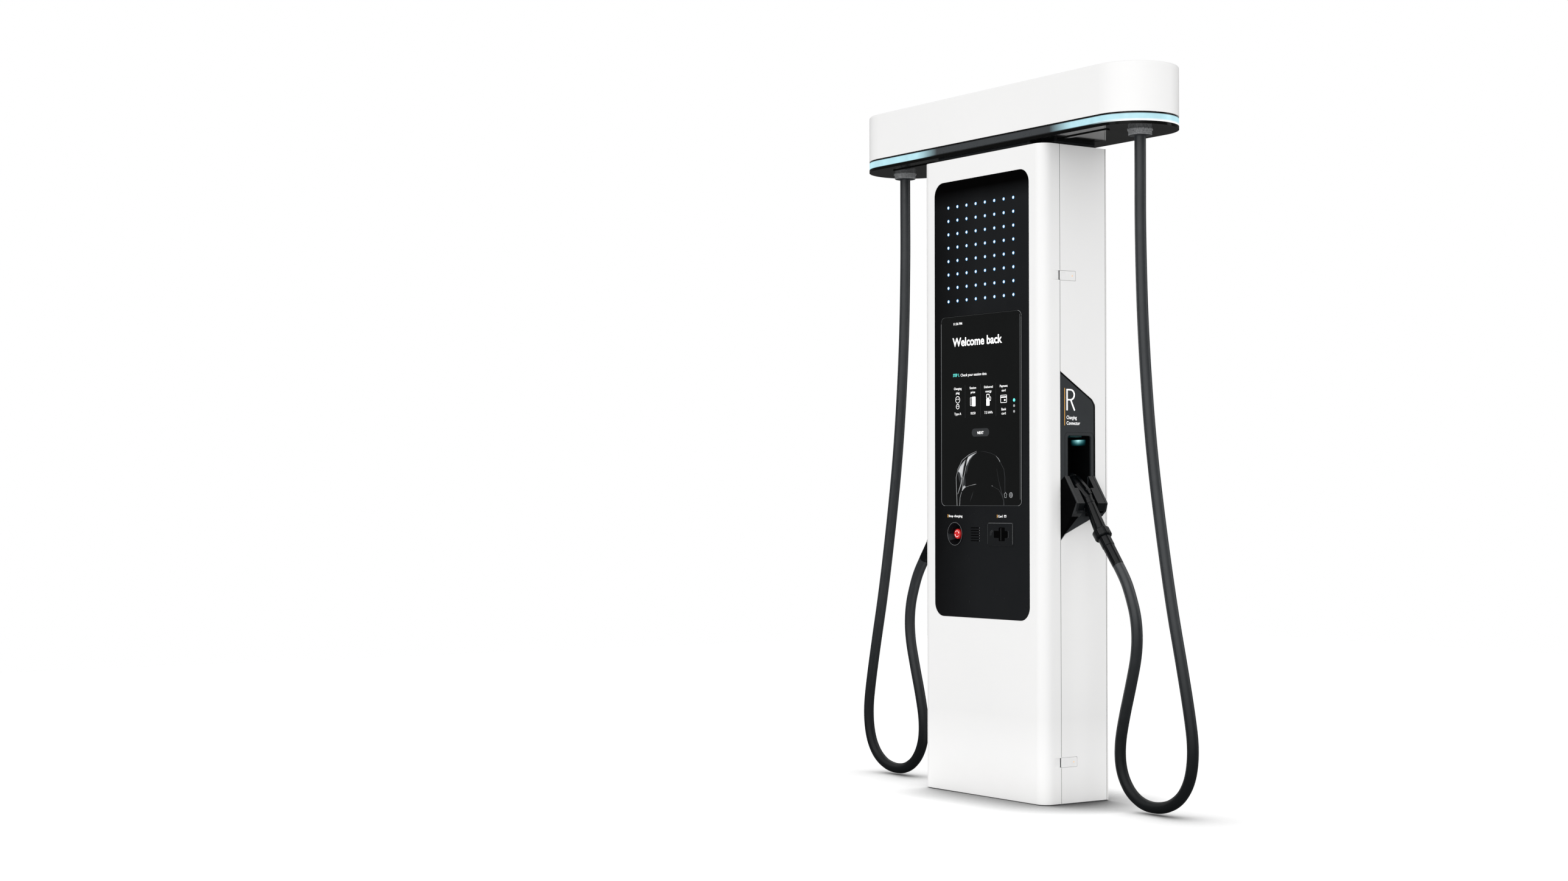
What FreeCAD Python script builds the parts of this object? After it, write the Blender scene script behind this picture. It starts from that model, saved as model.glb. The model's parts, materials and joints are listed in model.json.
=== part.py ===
"""Double-outlet EV charging post: a steel cabinet with a hinged front door, a canopy that
carries two hanging charging cables, and a holster for a connector on each side.

Millimetres.  Origin on the floor under the middle of the cabinet, +X to the right seen from
the front, +Y to the back, +Z up.  Every sub-part is written to parts/NODE.step."""
import FreeCAD, Part
import math
import os

V = FreeCAD.Vector

# ---------------------------------------------------------------- driving dimensions
BODY_HALF_W = 294.0        # cabinet half width
FRONT_Y = -130.0           # outer face of the door
REAR_Y = 132.0             # outer face of the rear panel
BODY_H = 2000.0            # top of the cabinet
SKIN = 3.0                 # sheet thickness of the skins
FLOOR_GAP = 3.0            # skins stop this far above the floor
FRONT_CORNER_R = 35.0      # big radius on the door's two vertical corners
REAR_CORNER_R = 8.0
SEAM_Y = -61.5             # plane where the door meets the side panels
SEAM_HALF_GAP = 0.8
REAR_SEAM_Y = 122.5        # plane where the side panels meet the rear panel

BASE_T = 10.0              # base plate thickness
ANCHOR_DX, ANCHOR_DY = 460.0, 180.0
ANCHOR_R = 9.0
CABLE_ENTRY_R = 60.0

CANOPY_HALF_L = 676.0      # half length of the canopy, round ends included
CANOPY_R = 135.5           # half depth of the canopy, and the radius of its round ends
CANOPY_Y = 10.0            # middle plane of the canopy
NECK_TOP = 2014.0
PLATE_TOP = 2023.0
LIGHT_TOP = 2047.0
SHADOW_TOP = 2051.0
CANOPY_TOP = 2200.0

GLASS_HALF_W = 230.0       # black glass front panel
GLASS_Z = (552.0, 1929.0)
GLASS_R = 43.0
GLASS_T = 3.0
GLASS_Y = FRONT_Y - 0.5    # the glass stands half a millimetre proud

DISPLAY_HALF_W = 197.0
DISPLAY_Z = (900.0, 1499.0)
DISPLAY_R = 18.0

LED_COUNT = 8              # lenses per row and per column
LED_X0, LED_PITCH_X = -158.5, 45.33
LED_Z0, LED_PITCH_Z = 1548.0, 42.64
LED_R = 5.5

ESTOP_X, ESTOP_Z = -127.3, 812.4
ESTOP_RING_R = 38.0
ESTOP_HEAD_R = 16.0
ESTOP_TRAVEL = 5.0

SPEAKER_X = (-50.0, -6.0)
SPEAKER_Z0, SPEAKER_PITCH, SPEAKER_SLOT = 792.0, 8.0, 3.2
SPEAKER_SLOTS = 6

CARD_X = (33.5, 156.8)
CARD_Z = (777.0, 849.5)

CABLE_X = 569.0            # where each cable leaves the canopy
CABLE_Y = 12.0             # vertical plane in which both cables hang
CABLE_R = 17.0
GLAND_R = 35.0
GLAND_BOTTOM = 1996.0

LATCH_Z = (126.5, 1600.5)  # middle heights of the two door latches
LATCH_Y = (-60.0, 1.3)     # front and rear ends of a latch lever
LATCH_H = 29.0
CUP_Y = (-90.0, SEAM_Y - SEAM_HALF_GAP)    # sloping finger recess beside each latch
CUP_DEPTH = 5.0            # its depth at the seam
LATCH_AXIS = (291.3, -1.0)
LATCH_PIN_R = 1.0

SCREW_R, SCREW_HEAD_R, SCREW_HEAD_T = 2.5, 4.8, 2.4    # rear panel's screws
SCREW_FIT = 0.1

HINGE_AXIS = (-300.0, SEAM_Y)
HINGE_Z = (280.0, 1420.0, 1840.0)
HINGE_HALF_H = 40.0
HINGE_R, PIN_R, PIN_FIT = 6.0, 3.0, 0.05

# Outline of the dark holster plate on each side, as (y, z)
BEZEL = [(SEAM_Y + SEAM_HALF_GAP, 1306), (66, 1224), (77, 1208), (77, 870), (45, 855),
         (-44, 817), (SEAM_Y + SEAM_HALF_GAP, 797)]
BEZEL_R = [0, 14, 14, 6, 0, 20, 0]
# How far the side panel's cutout stands off each corner: a wide shadow gap above and behind
BEZEL_GAP = [(-2, 4.9), (2.1, 2.2), (3, 0.9), (3, 0.3), (0.6, -1), (0.8, -1.6), (-2, -4)]
MOUTH_Y, MOUTH_Z = (-32.0, 62.0), (990.0, 1115.0)
POCKET_X = 196.0           # inner end of the connector pocket
CHANNEL_HALF = (39.0, 26.0)    # half width of the cradle's channel, above and below its step
STEP_Z = 955.5
CRADLE_Y = (-46.0, 77.0)
CHEEK_T = 8.0              # outer wall of the cradle

GRIP_JOINT = (395.3, 819.0)    # (x, z) where the connector's handle meets its collar nut
HANDLE_TILT = 30.5         # handle's lean from the vertical, degrees
RELIEF_TILT = 37.4         # strain relief's lean from the vertical, degrees
NOSE_TILT = 54.0           # plug's lean from the vertical, degrees
HANDLE_L = 124.0
RELIEF_L = 120.3
NOSE_L = 96.0
SPLIT_ANGLES = (-15, -68, 112, 165)    # split lines round the grip, degrees
SPLIT_W = 2.0
LEVER_PIVOT = (21.0, 14.0)     # (out, along) in the plug's own frame
LEVER_PIN_R = 1.5

# Route of the right-hand cable in its vertical plane, as (x, z), from the canopy's gland down
# to the loop that rests near the floor and back up to the connector's strain relief.
CABLE_ROUTE = [
    (569, GLAND_BOTTOM), (569, 1890), (568, 1735), (574, 1500), (588, 1290), (611, 1070),
    (646, 850), (692, 610), (735, 432), (764, 300), (779, 208), (770, 125), (738, 67),
    (688, 32), (628, 19), (566, 25), (511, 58), (476, 116), (471, 190), (491, 275),
    (519, 365), (548, 470), (546, 565), (516, 648), (492.3, 692.2), (468.4, 723.4)]

parts = {}


# ---------------------------------------------------------------- helpers
def box(x0, x1, y0, y1, z0, z1):
    return Part.makeBox(x1 - x0, y1 - y0, z1 - z0, V(x0, y0, z0))


def cylinder(radius, start, end):
    axis = V(*end) - V(*start)
    return Part.makeCylinder(radius, axis.Length, V(*start), axis)


def cone(r_start, r_end, start, end):
    axis = V(*end) - V(*start)
    return Part.makeCone(r_start, r_end, axis.Length, V(*start), axis)


def rounded_wire(points, radii):
    """Closed wire through points with an arc of the given radius at each corner."""
    n = len(points)
    if not isinstance(radii, (list, tuple)):
        radii = [radii] * n
    ends = []
    for i, (p, r) in enumerate(zip(points, radii)):
        a = (points[i - 1] - p).normalize()
        b = (points[(i + 1) % n] - p).normalize()
        if r <= 0:
            ends.append((p, None, p))
            continue
        half = a.getAngle(b) / 2
        reach = r / math.tan(half)
        middle = p + (a + b).normalize() * (r / math.sin(half) - r)
        ends.append((p + a * reach, middle, p + b * reach))
    edges = []
    for i, (start, middle, end) in enumerate(ends):
        if middle is not None:
            edges.append(Part.Arc(start, middle, end).toShape())
        following = ends[(i + 1) % n][0]
        if (following - end).Length > 1e-6:
            edges.append(Part.LineSegment(end, following).toShape())
    return Part.Wire(edges)


def prism(points, radii, direction):
    return Part.Face(rounded_wire(points, radii)).extrude(direction)


def prism_xy(points, radii, z0, z1):
    return prism([V(x, y, z0) for x, y in points], radii, V(0, 0, z1 - z0))


def prism_xz(points, radii, y0, y1):
    return prism([V(x, y0, z) for x, z in points], radii, V(0, y1 - y0, 0))


def prism_yz(points, radii, x0, x1):
    return prism([V(x0, y, z) for y, z in points], radii, V(x1 - x0, 0, 0))


def corners(a0, a1, b0, b1):
    return [(a0, b0), (a1, b0), (a1, b1), (a0, b1)]


def front_plate(x0, x1, z0, z1, radius, y0, y1):
    """Plate parallel to the door, with rounded corners."""
    return prism_xz(corners(x0, x1, z0, z1), radius, y0, y1)


def stadium(offset, z0, z1):
    """Canopy plan, grown by offset (negative shrinks it), between two heights."""
    r = CANOPY_R + offset
    straight = CANOPY_HALF_L - CANOPY_R
    y0, y1 = CANOPY_Y - r, CANOPY_Y + r
    wire = Part.Wire([
        Part.LineSegment(V(-straight, y0, z0), V(straight, y0, z0)).toShape(),
        Part.Arc(V(straight, y0, z0), V(straight + r, CANOPY_Y, z0), V(straight, y1, z0)).toShape(),
        Part.LineSegment(V(straight, y1, z0), V(-straight, y1, z0)).toShape(),
        Part.Arc(V(-straight, y1, z0), V(-straight - r, CANOPY_Y, z0), V(-straight, y0, z0)).toShape(),
    ])
    return Part.Face(wire).extrude(V(0, 0, z1 - z0))


def fuse(*shapes):
    return shapes[0].multiFuse(list(shapes[1:])).removeSplitter()


def cut(shape, *tools):
    return shape.cut(list(tools)) if len(tools) > 1 else shape.cut(tools[0])


def group(*shapes):
    return Part.makeCompound(list(shapes))


def mirrored(shape):
    return shape.mirror(V(0, 0, 0), V(1, 0, 0))


def both_sides(name, shape):
    """Register the right-hand piece and its mirror image on the left."""
    parts[name + "_right"] = shape
    parts[name + "_left"] = mirrored(shape)


def pair(shape):
    """The right-hand piece and its mirror image, as separate solids of one node."""
    return group(*shape.Solids, *mirrored(shape).Solids)


def fillet_where(shape, radius, test):
    edges = [e for e in shape.Edges if test(e)]
    return shape.makeFillet(radius, edges)


# ---------------------------------------------------------------- cabinet
def base_plate():
    """Floor plate; its front part is narrower so that the door's skirt swings clear of it."""
    inner = BODY_HALF_W - SKIN - 0.5
    rear = prism_xy(corners(-inner, inner, SEAM_Y + 2, REAR_Y - SKIN - 0.5), 4, 0, BASE_T)
    front = prism_xy(corners(-276, 276, FRONT_Y + 12, SEAM_Y + 12), 12, 0, BASE_T)
    plate = rear.fuse(front).removeSplitter()
    holes = [cylinder(ANCHOR_R, (sx * ANCHOR_DX / 2, sy * ANCHOR_DY / 2, -1),
                      (sx * ANCHOR_DX / 2, sy * ANCHOR_DY / 2, BASE_T + 1))
             for sx in (-1, 1) for sy in (-1, 1)]
    entry = cylinder(CABLE_ENTRY_R, (0, 0, -1), (0, 0, BASE_T + 1))
    return cut(plate, entry, *holes)


def corner_posts():
    """Four upright steel angles that carry the skins."""
    leg, t = 28.0, 3.0
    x1 = BODY_HALF_W - SKIN
    z0, z1 = BASE_T, BODY_H - 9
    posts = []
    front_y, back_y = SEAM_Y + 2, REAR_SEAM_Y - 2
    for y0, y1, flange in ((front_y, front_y + leg, front_y), (back_y - leg, back_y, back_y - t)):
        upright = box(x1 - t, x1, y0, y1, z0, z1)
        web = box(x1 - leg, x1, flange, flange + t, z0, z1)
        post = fuse(upright, web)
        for z in LATCH_Z:
            post = cut(post, box(x1 - leg - 1, x1 + 1, -61, 4, z - 22, z + 22))
        post = cut(post, box(x1 - leg - 1, x1 + 1, -61, 70, BEZEL[6][1] - 7, BEZEL[0][1] + 7))
        posts += post.Solids + mirrored(post).Solids
    return group(*posts)


def side_panel(with_latches):
    x0, x1 = BODY_HALF_W - SKIN, BODY_HALF_W
    panel = box(x0, x1, SEAM_Y + SEAM_HALF_GAP, REAR_SEAM_Y - SEAM_HALF_GAP, FLOOR_GAP, BODY_H)
    opening = [(y + dy, z + dz) for (y, z), (dy, dz) in zip(BEZEL, BEZEL_GAP)]
    panel = cut(panel, prism_yz(opening, BEZEL_R, x0 - 1, x1 + 1))
    if with_latches:
        for z in LATCH_Z:
            panel = cut(panel, prism_yz(corners(LATCH_Y[0] - 2, LATCH_Y[1] + 1.0,
                                                z - LATCH_H / 2 - 0.8, z + LATCH_H / 2 + 0.8),
                                        [0, 3, 3, 0], x0 - 1, x1 + 1),
                        cylinder(LATCH_PIN_R + 0.2, (*LATCH_AXIS, z - 19), (*LATCH_AXIS, z + 19)))
    return panel


def rear_panel():
    """Pan with folded edges, a rounded fold and ventilation slots near top and bottom."""
    y0 = REAR_SEAM_Y + SEAM_HALF_GAP
    outer = prism_xy(corners(-BODY_HALF_W, BODY_HALF_W, y0, REAR_Y),
                     [0, 0, REAR_CORNER_R, REAR_CORNER_R], FLOOR_GAP, BODY_H)
    inner = box(-BODY_HALF_W + SKIN, BODY_HALF_W - SKIN, y0 - 1, REAR_Y - SKIN, 0, BODY_H + 1)
    panel = cut(outer, inner)
    slots = []
    for z_first in (240.0, 1640.0):
        for row in range(9):
            z = z_first + 22 * row
            for x in (-100, 100):
                slots.append(front_plate(x - 80, x + 80, z, z + 8, 3.9, REAR_Y - SKIN - 1, REAR_Y + 1))
    holes = [screw_shape(x, z, SCREW_FIT) for x, z in rear_screw_spots()]
    return cut(panel, *slots, *holes)


def rear_screw_spots():
    return [(side * 284, z) for side in (-1, 1) for z in (60, 500, 1000, 1500, 1940)]


def screw_shape(x, z, grow=0.0):
    """Countersunk screw, its head flush with the rear panel; grow makes the hole for it."""
    shank = cylinder(SCREW_R + grow, (x, REAR_Y - 5.5, z), (x, REAR_Y - SCREW_HEAD_T, z))
    head = cone(SCREW_R + grow, SCREW_HEAD_R + grow, (x, REAR_Y - SCREW_HEAD_T, z), (x, REAR_Y, z))
    return fuse(shank, head)


def rear_screws():
    """Screws that hold the rear panel: identical separate solids, each with a cross in its head."""
    solids = []
    for x, z in rear_screw_spots():
        cross = [box(x - a, x + a, REAR_Y - 1, REAR_Y + 1, z - b, z + b)
                 for a, b in ((2.4, 0.45), (0.45, 2.4))]
        solids.append(cut(screw_shape(x, z), *cross))
    return group(*solids)


def roof_plate():
    inner = BODY_HALF_W - SKIN - 0.5
    plate = prism_xy(corners(-inner, inner, SEAM_Y + 2, REAR_Y - SKIN - 0.5), 4, BODY_H - 9, BODY_H - 3)
    return cut(plate, prism_xy(corners(-150, 150, -40, 60), 10, BODY_H - 10, BODY_H))


def neck():
    """Low dark collar between the cabinet and the canopy, hollow for the cables."""
    outer = prism_xy(corners(-266, 266, -52, 112), 10, BODY_H - 3, NECK_TOP)
    front = prism_xy(corners(-250, 200, -102, -50), 8, BODY_H + 2.5, NECK_TOP)
    hole = prism_xy(corners(-150, 150, -40, 60), 10, BODY_H - 4, NECK_TOP + 1)
    return cut(outer.fuse(front).removeSplitter(), hole)


# ---------------------------------------------------------------- canopy
def gland_positions():
    return [(side * CABLE_X, CABLE_Y) for side in (-1, 1)]


def canopy_plate():
    """Gloss black underside with a raised rim inside the light ring and two cable ducts."""
    rim = stadium(-15, PLATE_TOP, SHADOW_TOP).cut(stadium(-22, PLATE_TOP - 1, SHADOW_TOP + 1))
    lip = stadium(-4, LIGHT_TOP, SHADOW_TOP).cut(stadium(-16, LIGHT_TOP - 1, SHADOW_TOP + 1))
    duct = prism_xy(corners(300, 520, -78, -62), 3, NECK_TOP - 3, NECK_TOP)
    plate = fuse(stadium(0, NECK_TOP, PLATE_TOP), rim, lip, duct, mirrored(duct))
    hole = prism_xy(corners(-150, 150, -40, 60), 10, NECK_TOP - 1, PLATE_TOP + 1)
    bores = [cylinder(CABLE_R + 4, (x, y, NECK_TOP - 1), (x, y, PLATE_TOP + 1))
             for x, y in gland_positions()]
    return cut(plate, hole, *bores)


def canopy_light_ring():
    return stadium(-0.5, PLATE_TOP, LIGHT_TOP).cut(stadium(-14, PLATE_TOP - 1, LIGHT_TOP + 1))


def canopy_shell():
    wall = 4.0
    outer = stadium(0, SHADOW_TOP, CANOPY_TOP)
    outer = fillet_where(outer, 6, lambda e: e.BoundBox.ZMin > CANOPY_TOP - 0.1)
    return outer.cut(stadium(-wall, SHADOW_TOP - 1, CANOPY_TOP - wall))


def canopy_beam():
    """Steel box beam that carries the canopy and both cables' weight."""
    beam = box(-600, 600, CANOPY_Y - 60, CANOPY_Y + 60, PLATE_TOP, PLATE_TOP + 80)
    bore = box(-601, 601, CANOPY_Y - 56, CANOPY_Y + 56, PLATE_TOP + 4, PLATE_TOP + 76)
    passage = box(-140, 140, CANOPY_Y - 40, CANOPY_Y + 40, PLATE_TOP - 1, PLATE_TOP + 5)
    ends = [cylinder(CABLE_R + 4, (x, y, PLATE_TOP - 1), (x, y, PLATE_TOP + 5))
            for x, y in gland_positions()]
    return cut(beam, bore, passage, *ends)


def gland():
    """Cable gland: knurled nut, flange and a threaded body up through the plate."""
    x, y = CABLE_X, CABLE_Y
    nut = cylinder(GLAND_R, (x, y, GLAND_BOTTOM), (x, y, NECK_TOP - 3))
    nut = fillet_where(nut, 3, lambda e: e.BoundBox.ZMax < GLAND_BOTTOM + 0.1 and e.Length > 200)
    flange = cylinder(GLAND_R + 3, (x, y, NECK_TOP - 3), (x, y, NECK_TOP))
    body = cylinder(CABLE_R + 4, (x, y, NECK_TOP), (x, y, PLATE_TOP + 14))
    whole = fuse(nut, flange, body)
    return whole.cut(cylinder(CABLE_R - 4, (x, y, GLAND_BOTTOM - 1), (x, y, PLATE_TOP + 20)))


# ---------------------------------------------------------------- holsters
def holster_bezel():
    """Dark plate let flush into the side panel, with the mouth and the channel's slot."""
    x0, x1 = BODY_HALF_W - 6, BODY_HALF_W - 0.3
    plate = prism_yz(BEZEL, BEZEL_R, x0, x1)
    mouth = prism_yz(corners(*MOUTH_Y, *MOUTH_Z), [0, 0, 8, 8], x0 - 1, x1 + 1)
    slot = box(x0 - 1, x1 + 1, CABLE_Y - CHANNEL_HALF[0], CABLE_Y + CHANNEL_HALF[0], 895, 991)
    groove_out = prism_yz(corners(-44, 73, 985, 1125), [0, 0, 14, 14], x1 - 0.8, x1 + 1)
    groove_in = prism_yz(corners(-42.6, 71.6, 984, 1123.6), [0, 0, 12.6, 12.6], x1 - 1, x1 + 2)
    return cut(plate, mouth, slot, groove_out.cut(groove_in))


def holster_pocket():
    """Open-fronted box behind the mouth that takes the connector's nose."""
    x1 = BODY_HALF_W - 6
    outer = box(POCKET_X, x1, MOUTH_Y[0] - 3, MOUTH_Y[1] + 3, 880, MOUTH_Z[1] + 3)
    inner = box(POCKET_X + 3, x1 + 1, MOUTH_Y[0], MOUTH_Y[1], 883, MOUTH_Z[1])
    return outer.cut(inner)


def cradle_profile(inset=0.0):
    """Side view of the cradle as (x, z): sloping top, blunt tip and undercut bottom."""
    x0 = BODY_HALF_W - 0.3
    return [(x0, 993 - 1.9 * inset), (352 - inset, 909 - 0.3 * inset), (345 - inset, 885 + inset * 0.3),
            (326 - 0.6 * inset, 868.5 + inset), (x0, 868.5 + inset)]


def cradle_shell():
    """Outer walls and sill of the cradle; its front wall flares out to the door seam."""
    y0, y1 = CRADLE_Y
    radii = [0, 5, 5, 4, 0]
    whole = prism_xz(cradle_profile(), radii, y0, y1)
    hollow = prism_xz([(x, z + 14 if z < 880 else z) for x, z in cradle_profile(-6)],
                      0, y0 + CHEEK_T, y1 - CHEEK_T)
    shell = whole.cut(hollow)
    channel = (CABLE_Y - CHANNEL_HALF[1], CABLE_Y + CHANNEL_HALF[1])
    shell = shell.cut(box(BODY_HALF_W - 5, 400, *channel, 860, 883.5))
    x0 = BODY_HALF_W - 0.3
    flare_y = SEAM_Y + SEAM_HALF_GAP + 0.6
    tip, under = V(347, y0, 912), V(326, y0, 869)
    top = V(x0, y0, 990)
    seam_top, seam_low = V(x0, flare_y, 978), V(x0, flare_y, 801)
    foot, heel = V(x0, -18, 862), V(326, -18, 869)
    flare = polyhedron([
        (seam_top, tip, top), (seam_top, under, tip), (seam_top, seam_low, under),
        (seam_low, heel, under), (seam_low, foot, heel),
        (top, tip, under), (top, under, heel), (top, heel, foot),
        (seam_top, top, foot), (seam_top, foot, seam_low)])
    flare = flare.cut(box(280, 400, y0 + CHEEK_T, 0, 868.6, 1000))
    return shell.fuse(flare).removeSplitter()


def polyhedron(triangles):
    faces = [Part.Face(Part.makePolygon([a, b, c, a])) for a, b, c in triangles]
    solid = Part.makeSolid(Part.makeShell(faces))
    if solid.Volume < 0:
        solid.reverse()
    return solid


def cradle_liner():
    """Two rubber-lined cheeks between the walls; the channel widens above a small step."""
    y0, y1 = CRADLE_Y[0] + CHEEK_T + 0.6, CRADLE_Y[1] - CHEEK_T - 0.6
    low = [(x, z + 13.4 if z < 880 else z) for x, z in cradle_profile(0.8)]
    block = prism_xz(low, [0, 4, 3, 2, 0], y0, y1)
    narrow = box(280, 400, CABLE_Y - CHANNEL_HALF[1], CABLE_Y + CHANNEL_HALF[1], 850, 1010)
    wide = box(280, 400, CABLE_Y - CHANNEL_HALF[0], CABLE_Y + CHANNEL_HALF[0], STEP_Z, 1010)
    cheeks = cut(block, narrow, wide)
    return group(*cheeks.Solids)


def holster_lens():
    """Light strip under the top of the connector pocket."""
    return box(POCKET_X + 20, BODY_HALF_W - 16, CABLE_Y - 20, CABLE_Y + 26, MOUTH_Z[1] - 4, MOUTH_Z[1])


# ---------------------------------------------------------------- connectors and cables
def tilted_frame(origin, tilt):
    """Placement at (x, z) whose local +Z runs up along the connector, leaning inwards."""
    turn = FreeCAD.Rotation(V(0, 1, 0), -tilt)
    return FreeCAD.Placement(V(origin[0], CABLE_Y, origin[1]), turn)


def placed(shape, frame):
    shape = shape.copy()
    shape.Placement = frame
    return shape


def handle_frame():
    return tilted_frame(GRIP_JOINT, HANDLE_TILT)


def relief_frame():
    return tilted_frame(GRIP_JOINT, RELIEF_TILT)


def nose_frame():
    """Frame of the plug: origin at the top of the handle, local +Z towards the plug's face."""
    knuckle = handle_frame().multVec(V(0, 0, HANDLE_L))
    return tilted_frame((knuckle.x, knuckle.z), NOSE_TILT)


def revolve_profile(profile):
    """Solid of revolution about local Z from (radius, z) pairs, closed along the axis."""
    points = [V(0, 0, profile[0][1])] + [V(r, 0, z) for r, z in profile] + [V(0, 0, profile[-1][1])]
    face = Part.Face(Part.makePolygon(points + [points[0]]))
    return face.revolve(V(0, 0, 0), V(0, 0, 1), 360)


def split_grooves(r0, z0, r1, z1):
    """Cutters for the grip's split lines; each floor runs straight from (r0, z0) to (r1, z1)."""
    length = math.hypot(r1 - r0, z1 - z0)
    lean = math.degrees(math.atan2(r1 - r0, z1 - z0))
    cutters = []
    for angle in SPLIT_ANGLES:
        groove = Part.makeBox(4, SPLIT_W, length, V(0, -SPLIT_W / 2, 0))
        groove.rotate(V(0, 0, 0), V(0, 1, 0), lean)
        groove.translate(V(r0, 0, z0))
        groove.rotate(V(0, 0, 0), V(0, 0, 1), angle)
        cutters.append(groove)
    return cutters


def connector_handle():
    """Tapered round grip with moulded split lines and a shoulder at the top."""
    top = HANDLE_L - 16
    body = revolve_profile([(19.6, 4), (19.4, 30), (15.6, top - 8), (16.6, top - 5), (16.6, top)])
    return placed(cut(body, *split_grooves(18.4, 14, 14.4, top - 14)), handle_frame())


def connector_head():
    """Housing from the handle's top, round the bend and out to the plug's face."""
    neck_part = placed(revolve_profile([(15, HANDLE_L - 16), (15, HANDLE_L)]), handle_frame())
    outline = [(15.8, 0), (20.5, 45), (21.5, 50), (21.5, NOSE_L - 8), (23, NOSE_L - 7), (23, NOSE_L)]
    nose = revolve_profile(outline)
    socket = Part.makeCylinder(19, 23, V(0, 0, NOSE_L - 22))
    x, z = LEVER_PIVOT
    pin = cylinder(LEVER_PIN_R, (x, -9, z), (x, 9, z))
    ears = [prism_xz([(14, z - 6), (x + 1, z - 4), (x + 3, z), (x + 1, z + 4), (14, z + 6)],
                     [0, 1, 3, 1, 0], s * 6, s * 9) for s in (-1, 1)]
    spots = [(0, 0)] + [(11, math.radians(60 * i)) for i in range(6)]
    pins = [cylinder(2.8, (r * math.cos(a), r * math.sin(a), NOSE_L - 24),
                     (r * math.cos(a), r * math.sin(a), NOSE_L - 5)) for r, a in spots]
    plug = fuse(nose, Part.makeSphere(15.81, V(0, 0, 0)), pin, *ears).cut(socket)
    plug = fuse(plug, *pins)
    return fuse(neck_part, placed(plug, nose_frame()))


def release_lever():
    """Fin-shaped latch lever on top of the plug, with a thumb tail behind its pivot."""
    x, z = LEVER_PIVOT
    outline = [(17.6, -4), (19.6, -5), (21.4, 4), (x + 3.4, z), (26.0, 32), (27.2, 57),
               (27.5, 76), (24.2, 78), (22.6, 42), (x - 3.2, z + 1), (18.2, 6)]
    fin = prism_xz(outline, [0.8, 0.8, 6, 6, 12, 0, 1, 1, 8, 3, 4], -5.5, 5.5)
    fin = fin.cut(cylinder(LEVER_PIN_R + 0.05, (x, -6, z), (x, 6, z)))
    window = prism_xz([(21.8, 27), (24.4, 28), (25.2, 40), (23.4, 44)], 1, -6, 6)
    return placed(fin.cut(window), nose_frame())


def connector_collar():
    """Ring nut that clamps the strain relief to the handle."""
    nut = revolve_profile([(22.5, 9), (25.5, 9), (27, 7), (27, -14), (25.5, -17), (21.5, -17)])
    nut = nut.cut(Part.makeCylinder(21.4, 18, V(0, 0, -7)))
    return placed(cut(nut, *split_grooves(26.2, -18, 26.2, 10)), relief_frame())


def strain_relief():
    """Tapered rubber sleeve with a step halfway down, split like the grip."""
    profile = [(19.6, -17), (19.4, -50), (18.2, -52), (17.5, -RELIEF_L + 3), (17.0, -RELIEF_L)]
    grooves = split_grooves(18.5, -49, 18.7, -19) + split_grooves(16.8, -RELIEF_L + 6, 17.4, -53)
    return placed(cut(revolve_profile(profile), *grooves), relief_frame())


def cable_path(route):
    """Straight runs joined by tangent arcs; each arc is as large as its two runs allow."""
    points = [V(x, CABLE_Y, z) for x, z in route]
    edges, radii, start = [], [], points[0]
    for before, corner, after in zip(points, points[1:], points[2:]):
        a, b = before - corner, after - corner
        reach = 0.45 * min(a.Length, b.Length)
        a.normalize()
        b.normalize()
        turn = math.pi - a.getAngle(b)
        radius = reach / math.tan(turn / 2)
        middle = corner + (a + b).normalize() * (radius / math.cos(turn / 2) - radius)
        edges.append(Part.LineSegment(start, corner + a * reach).toShape())
        edges.append(Part.Arc(corner + a * reach, middle, corner + b * reach).toShape())
        start = corner + b * reach
        radii.append(radius)
    edges.append(Part.LineSegment(start, points[-1]).toShape())
    return Part.Wire(edges), radii


def cable():
    path, radii = cable_path(CABLE_ROUTE)
    section = Part.Wire([Part.Circle(V(CABLE_ROUTE[0][0], CABLE_Y, CABLE_ROUTE[0][1]),
                                     V(0, 0, -1), CABLE_R).toShape()])
    tube = path.makePipeShell([section], True, True)
    expected = math.pi * CABLE_R ** 2 * path.Length
    print("cable length %.1f, radii %s" % (path.Length, [round(r) for r in radii]))
    print("cable volume %.0f against section x length %.0f" % (tube.Volume, expected))
    return tube


# ---------------------------------------------------------------- front door
def door_body(inset, rear_y, z0, z1):
    """The door's plan, with its two big front corners, between two heights."""
    half = BODY_HALF_W - inset
    r = FRONT_CORNER_R - inset
    return prism_xy([(-half, FRONT_Y + inset), (half, FRONT_Y + inset), (half, rear_y), (-half, rear_y)],
                    [r, r, 0, 0], z0, z1)


def door_shell():
    """Folded door skin with the glass's opening and a sloping finger recess beside each latch."""
    rear_y = SEAM_Y - SEAM_HALF_GAP
    outer = door_body(0, rear_y, FLOOR_GAP, BODY_H)
    inner = door_body(SKIN, rear_y + 1, 0, BODY_H - SKIN)
    window = front_plate(-GLASS_HALF_W - 0.8, GLASS_HALF_W + 0.8, GLASS_Z[0] - 0.8, GLASS_Z[1] + 0.8,
                         GLASS_R, FRONT_Y - 1, FRONT_Y + SKIN + 1)
    skin = cut(outer, inner, window)
    return cut(fuse(skin, *[cup_backing(z) for z in LATCH_Z]), *[cup_hollow(z) for z in LATCH_Z])


def cup_backing(z):
    """Metal behind a finger recess, following its slope two millimetres further in."""
    half_h = LATCH_H / 2 + 2
    x1 = BODY_HALF_W - 0.5
    plan = [(x1, CUP_Y[0] - 4), (x1, CUP_Y[1]), (x1 - CUP_DEPTH - 1.5, CUP_Y[1])]
    return prism_xy(plan, 0, z - half_h, z + half_h)


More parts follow.
